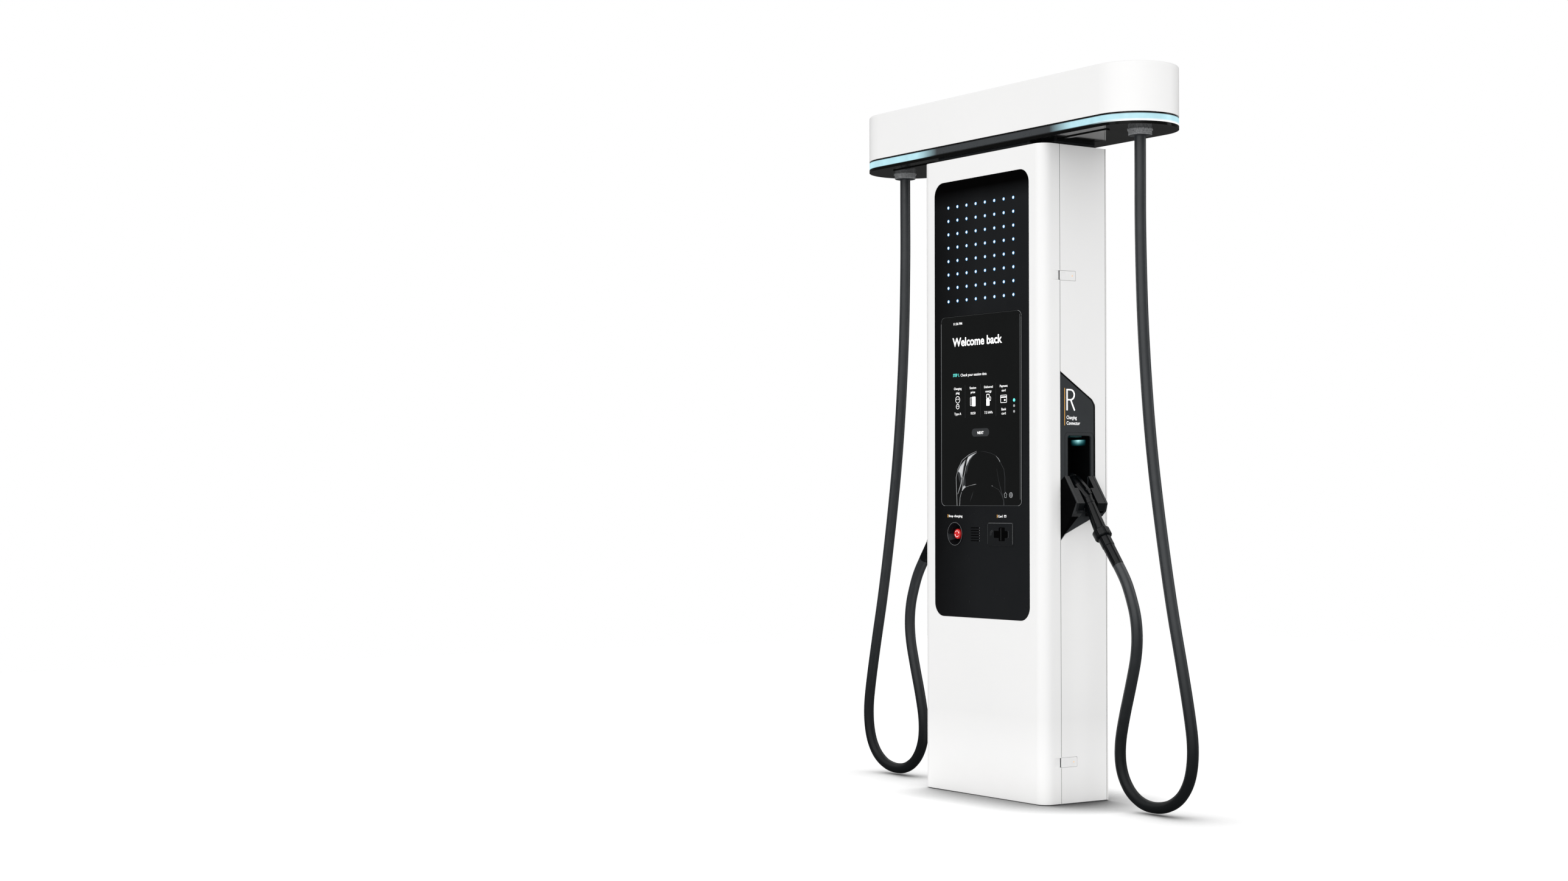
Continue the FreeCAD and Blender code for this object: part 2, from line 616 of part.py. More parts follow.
def cup_hollow(z):
    """Finger recess: a ramp from the door's face down to the seam."""
    half_h = LATCH_H / 2
    slope = CUP_DEPTH / (CUP_Y[1] - CUP_Y[0])
    x1 = BODY_HALF_W
    plan = [(x1 + 2, CUP_Y[0] - 2 / slope), (x1 - CUP_DEPTH - slope, CUP_Y[1] + 1), (x1 + 2, CUP_Y[1] + 1)]
    return prism_xy(plan, 0, z - half_h, z + half_h)


def door_frame():
    """Steel ring behind the glass that stiffens the door."""
    y0, y1 = FRONT_Y + SKIN, FRONT_Y + SKIN + 12
    ring = front_plate(-252, 252, 520, 1960, 6, y0, y1)
    ring = ring.cut(front_plate(-222, 222, 562, 1919, 36, y0 - 1, y1 + 1))
    rail = box(-222, 222, y0 + 0.3, y1, 866, 890)
    upper = box(-222, 222, y0 + 0.3, y1, 1504, 1528)
    return fuse(ring, rail, upper)


def slot_shapes(y0, y1):
    shapes = []
    for i in range(SPEAKER_SLOTS):
        z = SPEAKER_Z0 + SPEAKER_PITCH * i
        shapes.append(front_plate(SPEAKER_X[0], SPEAKER_X[1], z - SPEAKER_SLOT / 2,
                                  z + SPEAKER_SLOT / 2, SPEAKER_SLOT / 2 - 0.05, y0, y1))
    return shapes


def glass_panel():
    y1 = GLASS_Y + GLASS_T
    panel = front_plate(-GLASS_HALF_W, GLASS_HALF_W, *GLASS_Z, GLASS_R, GLASS_Y, y1)
    a, b = GLASS_Y - 1, y1 + 2
    display = front_plate(-DISPLAY_HALF_W - 0.6, DISPLAY_HALF_W + 0.6, DISPLAY_Z[0] - 0.6,
                          DISPLAY_Z[1] + 0.6, DISPLAY_R, a, b)
    stop_hole = cylinder(ESTOP_RING_R - 3, (ESTOP_X, a, ESTOP_Z), (ESTOP_X, b, ESTOP_Z))
    card = front_plate(CARD_X[0] + 3, CARD_X[1] - 3, CARD_Z[0] + 3, CARD_Z[1] - 3, 4, a, b)
    return cut(panel, display, stop_hole, card, *slot_shapes(a, b))


def display_glass():
    return front_plate(-DISPLAY_HALF_W, DISPLAY_HALF_W, *DISPLAY_Z, DISPLAY_R,
                       GLASS_Y - 0.8, GLASS_Y + GLASS_T)


def display_module():
    y0 = GLASS_Y + GLASS_T
    case = front_plate(-190, 190, 907, 1492, 6, y0, y0 + 22)
    ribs = [box(-170, 170, y0 + 22, y0 + 26, z - 3, z + 3) for z in (1000, 1100, 1200, 1300, 1400)]
    return fuse(case, *ribs)


def led_lenses():
    """Square grid of small domed lenses on the glass: identical separate solids."""
    lenses = []
    for col in range(LED_COUNT):
        for row in range(LED_COUNT):
            x, z = LED_X0 + col * LED_PITCH_X, LED_Z0 + row * LED_PITCH_Z
            lenses.append(cone(LED_R - 0.6, LED_R, (x, GLASS_Y - 0.8, z), (x, GLASS_Y, z)))
    return group(*lenses)


def led_board():
    y0 = GLASS_Y + GLASS_T + 0.5
    return front_plate(-178, 178, LED_Z0 - 16, 1865, 3, y0, y0 + 1.6)


def estop_housing():
    """Bezel ring and conical bowl round the push button, with a guide bore for its stem."""
    front, back = GLASS_Y - 2.5, -98.0
    x, z = ESTOP_X, ESTOP_Z
    ring = cylinder(ESTOP_RING_R, (x, front, z), (x, GLASS_Y, z))
    ring = fillet_where(ring, 1.2, lambda e: e.Length > 200 and e.CenterOfMass.y < front + 0.1)
    barrel = cylinder(ESTOP_RING_R - 3.5, (x, GLASS_Y, z), (x, back, z))
    bowl = cone(35, 23, (x, front - 0.01, z), (x, -104, z))
    bore = cylinder(8.06, (x, -105, z), (x, back + 1, z))
    return cut(ring.fuse(barrel), bowl, bore)


def estop_stem():
    x, z = ESTOP_X, ESTOP_Z
    shaft = cylinder(8.0, (x, -112, z), (x, -93, z))
    nose = cylinder(6.0, (x, -118, z), (x, -112, z))
    return fuse(shaft, nose)


def estop_head():
    """Red mushroom, domed, with a blind bore that turns on the stem's nose."""
    x, z = ESTOP_X, ESTOP_Z
    head = cylinder(ESTOP_HEAD_R, (x, -124, z), (x, -112.4, z))
    head = fillet_where(head, 4, lambda e: e.Length > 60 and e.CenterOfMass.y < -123)
    return head.cut(cylinder(6.05, (x, -118.4, z), (x, -112, z)))


def estop_contact_block():
    x, z = ESTOP_X, ESTOP_Z
    block = box(x - 15, x + 15, -86.5, -66, z - 20, z + 20)
    collar = cylinder(30, (x, -98, z), (x, -95.5, z))
    legs = [box(x + s * 22 - 3, x + s * 22 + 3, -95.5, -80, z - 12, z + 12) for s in (-1, 1)]
    bridges = [box(x + a, x + a + 10, -84, -80, z - 12, z + 12) for a in (-25, 15)]
    return fuse(block, collar, *legs, *bridges).cut(cylinder(9, (x, -99, z), (x, -95, z)))


def speaker():
    x = sum(SPEAKER_X) / 2
    z = SPEAKER_Z0 + SPEAKER_PITCH * (SPEAKER_SLOTS - 1) / 2
    y0 = GLASS_Y + GLASS_T
    frame = box(x - 27, x + 27, y0, y0 + 4, z - 27, z + 27)
    frame = frame.cut(cylinder(23, (x, y0 - 1, z), (x, y0 + 2.5, z)))
    magnet = cylinder(15, (x, y0 + 4, z), (x, y0 + 18, z))
    return fuse(frame, magnet)


def plus_shape(y0, y1, grow=0.0):
    wide = front_plate(65.5 - grow, 131.4 + grow, 802 - grow, 823.7 + grow, 3, y0, y1)
    tall = front_plate(88.3 - grow, 118 + grow, 792.3 - grow, 834.5 + grow, 3, y0, y1)
    return fuse(wide, tall)


def card_reader():
    """Card reader: bevelled face plate that stands proud, with a plus-shaped aerial window."""
    y0 = GLASS_Y - 3
    face = front_plate(*CARD_X, *CARD_Z, 6, y0, GLASS_Y)
    face = face.makeChamfer(2, [e for e in face.Edges if e.BoundBox.YMax < y0 + 0.01])
    body = front_plate(CARD_X[0] + 3.5, CARD_X[1] - 3.5, CARD_Z[0] + 3.5, CARD_Z[1] - 3.5, 4,
                       GLASS_Y, GLASS_Y + 22)
    return face.fuse(body).removeSplitter().cut(plus_shape(y0 - 1, y0 + 2))


def card_window():
    y0 = GLASS_Y - 3
    return plus_shape(y0 + 0.8, y0 + 2, -0.2)


def door_gasket():
    """Rubber seal round the door's opening, just in front of the seam."""
    y0, y1 = SEAM_Y - 10, SEAM_Y - 1.2
    outer = front_plate(-278, 278, 20, 1984, 6, y0, y1)
    return outer.cut(front_plate(-268, 268, 30, 1974, 4, y0 - 1, y1 + 1))


# ---------------------------------------------------------------- hinges and latches
def hinge_half(moving):
    """Half hinge on the left seam: the fixed half holds the pin, the door's half the bore."""
    x, y = HINGE_AXIS
    solids = []
    for z in HINGE_Z:
        z0, z1 = (z, z + HINGE_HALF_H) if moving else (z - HINGE_HALF_H, z - 0.4)
        knuckle = cylinder(HINGE_R, (x, y, z0), (x, y, z1))
        leaf_y = (y - 24, y - 1.2) if moving else (y + 1.2, y + 24)
        leaf = box(x + 2.5, -BODY_HALF_W, *leaf_y, z0, z1)
        web = box(x, -BODY_HALF_W, *((y - 6, y) if moving else (y, y + 6)), z0, z1)
        web = web.cut(box(-BODY_HALF_W - 1.2, -BODY_HALF_W + 1, y - 0.9, y + 0.9, z0 - 1, z1 + 1))
        half = fuse(knuckle, leaf, web)
        if moving:
            half = half.cut(cylinder(PIN_R + PIN_FIT, (x, y, z0 - 1), (x, y, z1 - 6)))
        else:
            half = half.fuse(cylinder(PIN_R, (x, y, z1), (x, y, z + HINGE_HALF_H - 8))).removeSplitter()
        solids.append(half)
    return group(*solids)


def latch_lever(z):
    """Flush paddle that turns on a thin pin in its rear end, with a rib behind it."""
    x1 = BODY_HALF_W - 0.2
    plate = prism_yz(corners(LATCH_Y[0], LATCH_Y[1], z - LATCH_H / 2, z + LATCH_H / 2),
                     [1, 4, 4, 1], x1 - 3, x1)
    rear_edge = cut(box(x1 - 1.2, x1 + 1, LATCH_Y[1] - 1.2, LATCH_Y[1] + 1, z - LATCH_H, z + LATCH_H),
                    cylinder(1.2, (x1 - 1.2, LATCH_Y[1] - 1.2, z - LATCH_H - 1),
                             (x1 - 1.2, LATCH_Y[1] - 1.2, z + LATCH_H + 1)))
    ax, ay = LATCH_AXIS
    knuckle = cylinder(2.3, (ax, ay, z - 10), (ax, ay, z + 10))
    rib = box(ax - 2.2, x1 - 3, -50, ay, z - 2, z + 2)
    lever = fuse(plate.cut(rear_edge), knuckle, rib)
    return lever.cut(cylinder(LATCH_PIN_R + 0.05, (ax, ay, z - 20), (ax, ay, z + 20)))


def latch_housings():
    """Steel cup behind each lever, with the lever's pivot pin through it."""
    ax, ay = LATCH_AXIS
    housings = []
    for z in LATCH_Z:
        x1 = BODY_HALF_W - SKIN
        outer = box(x1 - 26, x1, LATCH_Y[0] + 1, LATCH_Y[1] + 12, z - 20, z + 20)
        inner = box(x1 - 23, x1 + 1, LATCH_Y[0] - 1, LATCH_Y[1] + 9, z - 17, z + 17)
        pin = cylinder(LATCH_PIN_R, (ax, ay, z - 18.5), (ax, ay, z + 18.5))
        housings.append(outer.cut(inner).fuse(pin).removeSplitter())
    return group(*housings)


# ---------------------------------------------------------------- equipment inside
def mounting_plate():
    plate = box(-188, 188, 66, 69, 300, 1860)
    flanges = [box(-188, -185, 69, 90, 300, 1860), box(185, 188, 69, 90, 300, 1860)]
    feet = [box(sx * 173 - 15, sx * 173 + 15, 66, 90, BASE_T, 310) for sx in (-1, 1)]
    return fuse(plate, *flanges, *feet)


def din_rails():
    return group(*[box(-170, 170, 58.5, 66, z - 17.5, z + 17.5) for z in (620, 860)])


def module_row(width, gap, count, x0, y0, z, half_h, step=8.0):
    """Row of identical DIN-rail modules, each with a stepped front."""
    modules = []
    for i in range(count):
        x = x0 + i * (width + gap)
        back = box(x, x + width, y0, 58.5, z - half_h, z + half_h)
        nose = box(x + 2, x + width - 2, y0 - step, y0, z - half_h / 2, z + half_h / 2)
        modules.append(fuse(back, nose))
    return modules


def contactors():
    return group(*module_row(70, 12, 4, -160, -10, 860, 55))


def terminal_block():
    return group(*module_row(14, 1, 20, -150, 20, 620, 30, 4))


def power_supply():
    case = box(-170, 20, -20, 66, 1080, 1240)
    grooves = [box(-160 + 14 * i, -154 + 14 * i, -21, -18, 1095, 1225) for i in range(12)]
    return cut(case, *grooves)


def controller_board():
    board = box(50, 180, 44, 46, 1060, 1320)
    chips = [box(x, x + 22, 38, 44, z, z + 30) for x in (70, 104, 138) for z in (1090, 1160, 1230)]
    legs = [cylinder(3, (x, 46, z), (x, 66, z)) for x in (56, 174) for z in (1066, 1314)]
    return fuse(board, *chips, *legs)


def energy_meter():
    return fuse(box(-90, 90, 10, 66, 1560, 1740), box(-70, 70, 4, 10, 1640, 1720))


# ---------------------------------------------------------------- assembly
def build():
    parts["base_plate"] = base_plate()
    parts["corner_posts"] = corner_posts()
    parts["side_panel_right"] = side_panel(True)
    parts["side_panel_left"] = mirrored(side_panel(False))
    parts["rear_panel"] = rear_panel()
    parts["rear_screws"] = rear_screws()
    parts["roof_plate"] = roof_plate()
    parts["neck"] = neck()
    parts["canopy_plate"] = canopy_plate()
    parts["canopy_light_ring"] = canopy_light_ring()
    parts["canopy_shell"] = canopy_shell()
    parts["canopy_beam"] = canopy_beam()

    parts["cable_glands"] = pair(gland())
    both_sides("charge_cable", cable())
    both_sides("holster_bezel", holster_bezel())
    both_sides("holster_pocket", holster_pocket())
    both_sides("cradle_shell", cradle_shell())
    parts["cradle_liners"] = pair(cradle_liner())
    parts["holster_lenses"] = pair(holster_lens())
    both_sides("connector_head", connector_head())
    both_sides("connector_handle", connector_handle())
    both_sides("connector_collar", connector_collar())
    both_sides("strain_relief", strain_relief())
    both_sides("release_lever", release_lever())

    parts["door_shell"] = door_shell()
    parts["door_frame"] = door_frame()
    parts["door_gasket"] = door_gasket()
    parts["glass_panel"] = glass_panel()
    parts["display_glass"] = display_glass()
    parts["display_module"] = display_module()
    parts["led_lenses"] = led_lenses()
    parts["led_board"] = led_board()
    parts["estop_housing"] = estop_housing()
    parts["estop_contact_block"] = estop_contact_block()
    parts["estop_stem"] = estop_stem()
    parts["estop_head"] = estop_head()
    parts["speaker"] = speaker()
    parts["card_reader"] = card_reader()
    parts["card_window"] = card_window()

    parts["hinge_fixed_halves"] = hinge_half(False)
    parts["hinge_door_halves"] = hinge_half(True)
    parts["latch_housings"] = latch_housings()
    parts["latch_lever_lower"] = latch_lever(LATCH_Z[0])
    parts["latch_lever_upper"] = latch_lever(LATCH_Z[1])

    parts["mounting_plate"] = mounting_plate()
    parts["din_rails"] = din_rails()
    parts["contactors"] = contactors()
    parts["terminal_block"] = terminal_block()
    parts["power_supply"] = power_supply()
    parts["controller_board"] = controller_board()
    parts["energy_meter"] = energy_meter()


def main():
    build()
    os.makedirs("parts", exist_ok=True)
    for name, shape in parts.items():
        if not shape.isValid():
            print("not valid:", name)
        shape.exportStep("parts/%s.step" % name)
    print(len(parts), "parts")


main()
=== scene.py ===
"""Looks of the charging post: cords, finishes, printed marks, the lit screen and the studio."""

import json
import math

import bmesh
import bpy
from mathutils import Matrix, Vector


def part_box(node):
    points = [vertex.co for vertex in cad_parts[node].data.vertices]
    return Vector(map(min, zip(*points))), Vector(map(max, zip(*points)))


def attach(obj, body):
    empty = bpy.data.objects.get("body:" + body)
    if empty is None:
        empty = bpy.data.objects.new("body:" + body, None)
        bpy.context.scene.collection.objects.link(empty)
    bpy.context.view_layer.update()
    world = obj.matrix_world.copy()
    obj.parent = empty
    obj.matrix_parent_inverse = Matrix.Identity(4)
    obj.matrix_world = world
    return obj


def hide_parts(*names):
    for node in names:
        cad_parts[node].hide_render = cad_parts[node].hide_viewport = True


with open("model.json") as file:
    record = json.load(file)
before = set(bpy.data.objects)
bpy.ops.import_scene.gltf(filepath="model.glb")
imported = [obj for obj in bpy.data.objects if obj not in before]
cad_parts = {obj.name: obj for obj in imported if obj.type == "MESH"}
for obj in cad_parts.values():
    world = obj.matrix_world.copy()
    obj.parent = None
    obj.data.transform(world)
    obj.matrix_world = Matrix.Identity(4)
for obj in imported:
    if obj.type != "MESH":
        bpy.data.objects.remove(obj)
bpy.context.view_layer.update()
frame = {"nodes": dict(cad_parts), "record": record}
NODES = frame["nodes"]
SIDES = (("right", 1), ("left", -1))

# ---------------------------------------------------------------- camera
CAMERA_PLACE = Vector((5.61614, -4.74334, 0.91002))
CAMERA_AIM = Vector((-0.8232, 0.5671, 0.0268))
CAMERA_LENS = 53.44
SENSOR_WIDTH = 36


def make_camera():
    data = bpy.data.cameras.new("camera")
    data.lens = CAMERA_LENS
    data.sensor_width = SENSOR_WIDTH
    data.clip_end = 100
    camera = bpy.data.objects.new("camera", data)
    camera.location = CAMERA_PLACE
    camera.rotation_euler = CAMERA_AIM.to_track_quat("-Z", "Y").to_euler()
    bpy.context.collection.objects.link(camera)
    bpy.context.scene.camera = camera


# ---------------------------------------------------------------- cords
CABLE_Y = 0.012
CABLE_DIAMETER = 0.034
CABLE_ROUTE = [
    (0.569, 1.996), (0.569, 1.890), (0.568, 1.735), (0.574, 1.500), (0.588, 1.290), (0.611, 1.070),
    (0.646, 0.850), (0.692, 0.610), (0.735, 0.432), (0.764, 0.300), (0.779, 0.208), (0.770, 0.125),
    (0.738, 0.067), (0.688, 0.032), (0.628, 0.019), (0.566, 0.025), (0.511, 0.058), (0.476, 0.116),
    (0.471, 0.190), (0.491, 0.275), (0.519, 0.365), (0.548, 0.470), (0.546, 0.565), (0.516, 0.648),
    (0.4923, 0.6922), (0.4684, 0.7234)]


def charging_cord(side_name, side):
    """Flexible charging cable, hanging from its gland to the connector's strain relief."""
    curve = bpy.data.curves.new("charging_cord_" + side_name, "CURVE")
    curve.dimensions = "3D"
    curve.bevel_depth = 1.0  # times each point's radius
    curve.bevel_resolution = 6
    curve.resolution_u = 10
    curve.use_fill_caps = True
    spline = curve.splines.new("NURBS")
    spline.points.add(len(CABLE_ROUTE) - 1)
    for point, (x, z) in zip(spline.points, CABLE_ROUTE):
        point.co = (side * x, CABLE_Y, z, 1)
        point.radius = CABLE_DIAMETER / 2
    spline.order_u = 3
    spline.use_endpoint_u = True
    cord = bpy.data.objects.new("charging_cord_" + side_name, curve)
    bpy.context.collection.objects.link(cord)
    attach(cord, "cabinet")
    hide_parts("charge_cable_" + side_name)
    return cord


make_camera()
CORDS = {name: charging_cord(name, side) for name, side in SIDES}


# ---------------------------------------------------------------- materials
class Finish:
    """A node material with one Principled shader, built up by short calls."""

    def __init__(self, name, colour, roughness, **sockets):
        self.material = bpy.data.materials.new(name)
        self.material.use_nodes = True
        self.tree = self.material.node_tree
        self.shader = self.tree.nodes["Principled BSDF"]
        self.shader.inputs["Base Color"].default_value = (*colour, 1)
        self.shader.inputs["Roughness"].default_value = roughness
        for socket, value in sockets.items():
            self.shader.inputs[socket.replace("_", " ")].default_value = value
        self.colour = colour
        self.roughness = roughness
        self.place = self.node("ShaderNodeTexCoord").outputs["Object"]

    def node(self, kind, **settings):
        made = self.tree.nodes.new(kind)
        for key, value in settings.items():
            setattr(made, key, value)
        return made

    def link(self, start, end):
        self.tree.links.new(start, end)

    def noise(self, scale, detail=3.0, stretch=None):
        texture = self.node("ShaderNodeTexNoise")
        texture.inputs["Scale"].default_value = scale
        texture.inputs["Detail"].default_value = detail
        place = self.place
        if stretch:
            mapping = self.node("ShaderNodeMapping")
            mapping.inputs["Scale"].default_value = stretch
            self.link(place, mapping.inputs["Vector"])
            place = mapping.outputs["Vector"]
        self.link(place, texture.inputs["Vector"])
        return texture.outputs["Fac"]

    def span(self, value, low, high, start=0.3, end=0.7):
        """Maps a value between start and end onto low to high, and holds it there outside them."""
        change = self.node("ShaderNodeMapRange")
        change.inputs["From Min"].default_value = start
        change.inputs["From Max"].default_value = end
        change.inputs["To Min"].default_value = low
        change.inputs["To Max"].default_value = high
        self.link(value, change.inputs["Value"])
        return change.outputs["Result"]

    def calc(self, kind, first, second):
        """One Math node; each operand is a number or a socket."""
        step = self.node("ShaderNodeMath", operation=kind)
        for socket, value in zip(step.inputs, (first, second)):
            if isinstance(value, (int, float)):
                socket.default_value = value
            else:
                self.link(value, socket)
        return step.outputs["Value"]

    def axes(self):
        split = self.node("ShaderNodeSeparateXYZ")
        self.link(self.place, split.inputs["Vector"])
        return split.outputs["X"], split.outputs["Y"], split.outputs["Z"]

    def mix(self, amount, first, second):
        """Mixes two colours by a 0-1 socket; a colour is a tuple or a socket."""
        blend = self.node("ShaderNodeMix", data_type="RGBA")
        self.link(amount, blend.inputs["Factor"])
        for socket, colour in ((blend.inputs[6], first), (blend.inputs[7], second)):
            if isinstance(colour, tuple):
                socket.default_value = (*colour, 1)
            else:
                self.link(colour, socket)
        return blend.outputs[2]

    def vary_colour(self, amount, scale=3.0, stretch=None):
        """Slight darker clouding over the whole surface."""
        dark = tuple(c * (1 - amount) for c in self.colour)
        shade = self.mix(self.span(self.noise(scale, 4, stretch), 0, 1), dark, self.colour)
        self.link(shade, self.shader.inputs["Base Color"])
        return shade

    def vary_roughness(self, amount, scale=14.0, stretch=None):
        low, high = max(self.roughness - amount, 0.02), self.roughness + amount
        self.link(self.span(self.noise(scale, 5, stretch), low, high), self.shader.inputs["Roughness"])

    def bump(self, scale, height, detail=2.0, stretch=None):
        """Fine relief, of a height in metres."""
        bump = self.node("ShaderNodeBump")
        bump.inputs["Strength"].default_value = 1.0
        bump.inputs["Distance"].default_value = height
        self.link(self.noise(scale, detail, stretch), bump.inputs["Height"])
        before = self.shader.inputs["Normal"]
        if before.is_linked:
            self.link(before.links[0].from_socket, bump.inputs["Normal"])
        self.link(bump.outputs["Normal"], before)

    def round_edges(self, radius):
        """Catches light along sharp edges, as a small radius would."""
        edge = self.node("ShaderNodeBevel", samples=4)
        edge.inputs["Radius"].default_value = radius
        self.link(edge.outputs["Normal"], self.shader.inputs["Normal"])

    def between(self, value, low, high, soft):
        """1 between two values of a coordinate, 0 outside, with soft ends."""
        rise = self.span(value, 0, 1, low - soft, low + soft)
        fall = self.span(value, 1, 0, high - soft, high + soft)
        return self.calc("MULTIPLY", rise, fall)

    def glow(self, colour, strength):
        """Emission; the colour is a tuple or a socket, and so is the strength."""
        for socket, value in (("Emission Color", colour), ("Emission Strength", strength)):
            if isinstance(value, tuple):
                self.shader.inputs[socket].default_value = (*value, 1)
            elif isinstance(value, (int, float)):
                self.shader.inputs[socket].default_value = value
            else:
                self.link(value, self.shader.inputs[socket])

    def bounce(self, strength, full, gone):
        """A faint glow, full at one height and gone at the other; it stands for light bounced from the floor."""
        self.glow((1.0, 1.0, 1.0), self.span(self.axes()[2], strength, 0.0, full, gone))


def white_paint():
    """Satin powder coat with faint orange peel, a little dust low down and a glow near the floor."""
    finish = Finish("white_powder_coat", (0.862, 0.860, 0.856), 0.42, Specular_IOR_Level=0.4)
    clean = finish.vary_colour(0.025, 1.7)
    _, _, z = finish.axes()
    dust = finish.calc("MULTIPLY", finish.span(z, 1, 0, 0.0, 0.16), finish.span(finish.noise(9, 6), 0, 0.3))
    finish.link(finish.mix(dust, clean, (0.76, 0.75, 0.73)), finish.shader.inputs["Base Color"])
    finish.bounce(0.17, 0.02, 0.26)
    finish.vary_roughness(0.05, 30)
    finish.bump(900, 0.00003)
    return finish.material


def latch_paint():
    """The latches' own, slightly glossier white."""
    finish = Finish("latch_paint", (0.855, 0.853, 0.850), 0.36, Specular_IOR_Level=0.4)
    finish.vary_colour(0.04, 40)
    # Painted light: a faint glow low down stands for light bounced from the floor.
    finish.bounce(0.10, 0.10, 0.26)
    finish.vary_roughness(0.06, 120)
    finish.bump(1200, 0.00003)
    return finish.material


def plain(name, colour, roughness, clouding, unevenness, relief, edge=0.0, **sockets):
    """A finish with clouded colour, uneven gloss and fine relief; `edge` softens sharp edges."""
    finish = Finish(name, colour, roughness, **sockets)
    finish.vary_colour(*clouding)
    finish.vary_roughness(*unevenness)
    if edge:
        finish.round_edges(edge)
    finish.bump(*relief)
    return finish.material


def black_glass():
    """Back-painted glass; its colour is deepest black along its top and left edges as painted shade, and it is
    least glossy at the top.
    """
    finish = Finish("black_glass", (0.0115, 0.0124, 0.0136), 0.22)
    shade = finish.vary_colour(0.15, 3)
    x, _, z = finish.axes()
    # Painted shade: the base colour fades to deepest black towards the left edge and the top.
    across = finish.span(x, 0.35, 1, -0.22, -0.02)
    up = finish.span(z, 1, 0, 1.845, 1.900)
    amount = finish.calc("MULTIPLY", across, up)
    finish.link(finish.span(up, 0.03, 0.13, 0, 1), finish.shader.inputs["Specular IOR Level"])
    finish.link(finish.mix(amount, (0.0006, 0.0005, 0.0005), shade), finish.shader.inputs["Base Color"])
    finish.vary_roughness(0.06, 18)
    finish.bump(500, 0.000008)
    return finish.material


RING_FADE_LEFT = (-0.225, -0.325)
RING_FADE_RIGHT = (0.32, 0.42)
RING_LIT = (0.47, 0.77, 0.85)


def light_ring():
    """Diffuser strip: lit at both ends, grey plastic between them, with a white foot at the right-hand end and
    painted shade along its top.
    """
    finish = Finish("light_ring", (0.045, 0.050, 0.054), 0.30)
    x, _, z = finish.axes()
    lit = finish.calc("ADD", finish.span(x, 0, 1, *RING_FADE_LEFT), finish.span(x, 0, 1, *RING_FADE_RIGHT))
    low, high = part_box("canopy_light_ring")
    white_foot = finish.calc("MULTIPLY", finish.span(z, 1, 0, low.z + 0.003, low.z + 0.008),
                             finish.span(x, 0, 1, 0.50, 0.62))
    cyan_foot = finish.calc("MULTIPLY", finish.between(z, low.z + 0.0012, low.z + 0.006, 0.0008),
                            finish.span(x, 0, 1, -0.20, -0.30))
    tint = finish.mix(white_foot, RING_LIT, (1.0, 1.0, 1.0))
    cloud = finish.span(finish.noise(25, 3), 0.92, 1.06)
    # Outside this band the ring is near black and unlit; along the top that dark band is painted shade that widens
    # the shadow gap above the ring.
    edges = finish.between(z, low.z + 0.003, high.z - 0.002, 0.0012)
    edges = finish.calc("MAXIMUM", finish.calc("MAXIMUM", edges, white_foot), cyan_foot)
    finish.glow(tint, finish.calc("MULTIPLY", finish.calc("MULTIPLY", lit, cloud), edges))
    finish.link(finish.mix(edges, (0.004, 0.004, 0.005), finish.colour), finish.shader.inputs["Base Color"])
    finish.vary_roughness(0.05, 60)
    finish.bump(800, 0.00001)
    return finish.material


LED_PITCH = (0.04533, 0.04264)
LED_FIRST = (-0.1585, 1.548)


def centred(finish, value, first, pitch):
    """Distance from the nearest place in a regular row, signed."""
    shifted = finish.calc("SUBTRACT", value, first - pitch / 2)
    wrapped = finish.calc("FLOORED_MODULO", shifted, pitch)
    return finish.calc("SUBTRACT", wrapped, pitch / 2)


def led_lens():
    """Each small lens is white in the middle and blue at its rim."""
    finish = Finish("led_lens", (0.02, 0.03, 0.05), 0.25)
    x, _, z = finish.axes()
    dx = centred(finish, x, LED_FIRST[0], LED_PITCH[0])
    dz = centred(finish, z, LED_FIRST[1], LED_PITCH[1])
    squares = [finish.calc("POWER", finish.calc("ABSOLUTE", d, 0.0), 2.0) for d in (dx, dz)]
    far = finish.calc("SQRT", finish.calc("ADD", *squares), 0.0)
    rim = finish.span(far, 0, 1, 0.0026, 0.0044)
    finish.glow(finish.mix(rim, (1.0, 1.0, 1.0), (0.02, 0.36, 0.80)), finish.span(far, 1.6, 0.15, 0.0036, 0.0056))
    finish.vary_roughness(0.05, 300)
    return finish.material


def pocket_light():
    """The lamp's own window, dim from outside."""
    finish = Finish("pocket_light", (0.01, 0.03, 0.03), 0.3)
    finish.glow((0.10, 0.75, 0.80), finish.span(finish.noise(60, 2), 0.010, 0.016))
    finish.vary_roughness(0.05, 80)
    return finish.material


POCKET_WALL = 0.003


def pocket_lining():
    """Black pocket; the lamp throws a small patch of light high on the wall behind it."""
    finish = Finish("pocket_lining", (0.0022, 0.0024, 0.0026), 0.6, Specular_IOR_Level=0.08)
    x, y, z = finish.axes()
    low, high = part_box("holster_pocket_right")
    inner_x, inner_y, top = low.x + POCKET_WALL, high.y - POCKET_WALL, high.z - POCKET_WALL
    along = finish.calc("SUBTRACT", finish.calc("SUBTRACT", finish.calc("ABSOLUTE", x, 0.0), inner_x),
                        finish.calc("SUBTRACT", inner_y, y))
    wide = finish.between(along, 0.018, 0.056, 0.016)
    tall = finish.calc("MULTIPLY", finish.span(z, 1, 0, top - 0.0122, top - 0.0108),
                       finish.span(z, 0, 1, top - 0.031, top - 0.014))
    patch = finish.calc("MULTIPLY", finish.calc("POWER", wide, 1.3), finish.calc("POWER", tall, 1.4))
    tint = finish.mix(patch, (0.01, 0.38, 0.44), (0.52, 1.0, 1.0))
    finish.glow(tint, finish.calc("MULTIPLY", patch, finish.span(finish.noise(300, 3), 0.85, 1.05)))
    finish.vary_roughness(0.08, 60)
    finish.bump(1200, 0.00004)
    return finish.material


LOOP_SHADE = (0.12, 0.62)  # heights where the low loop is darkest and where it's plain


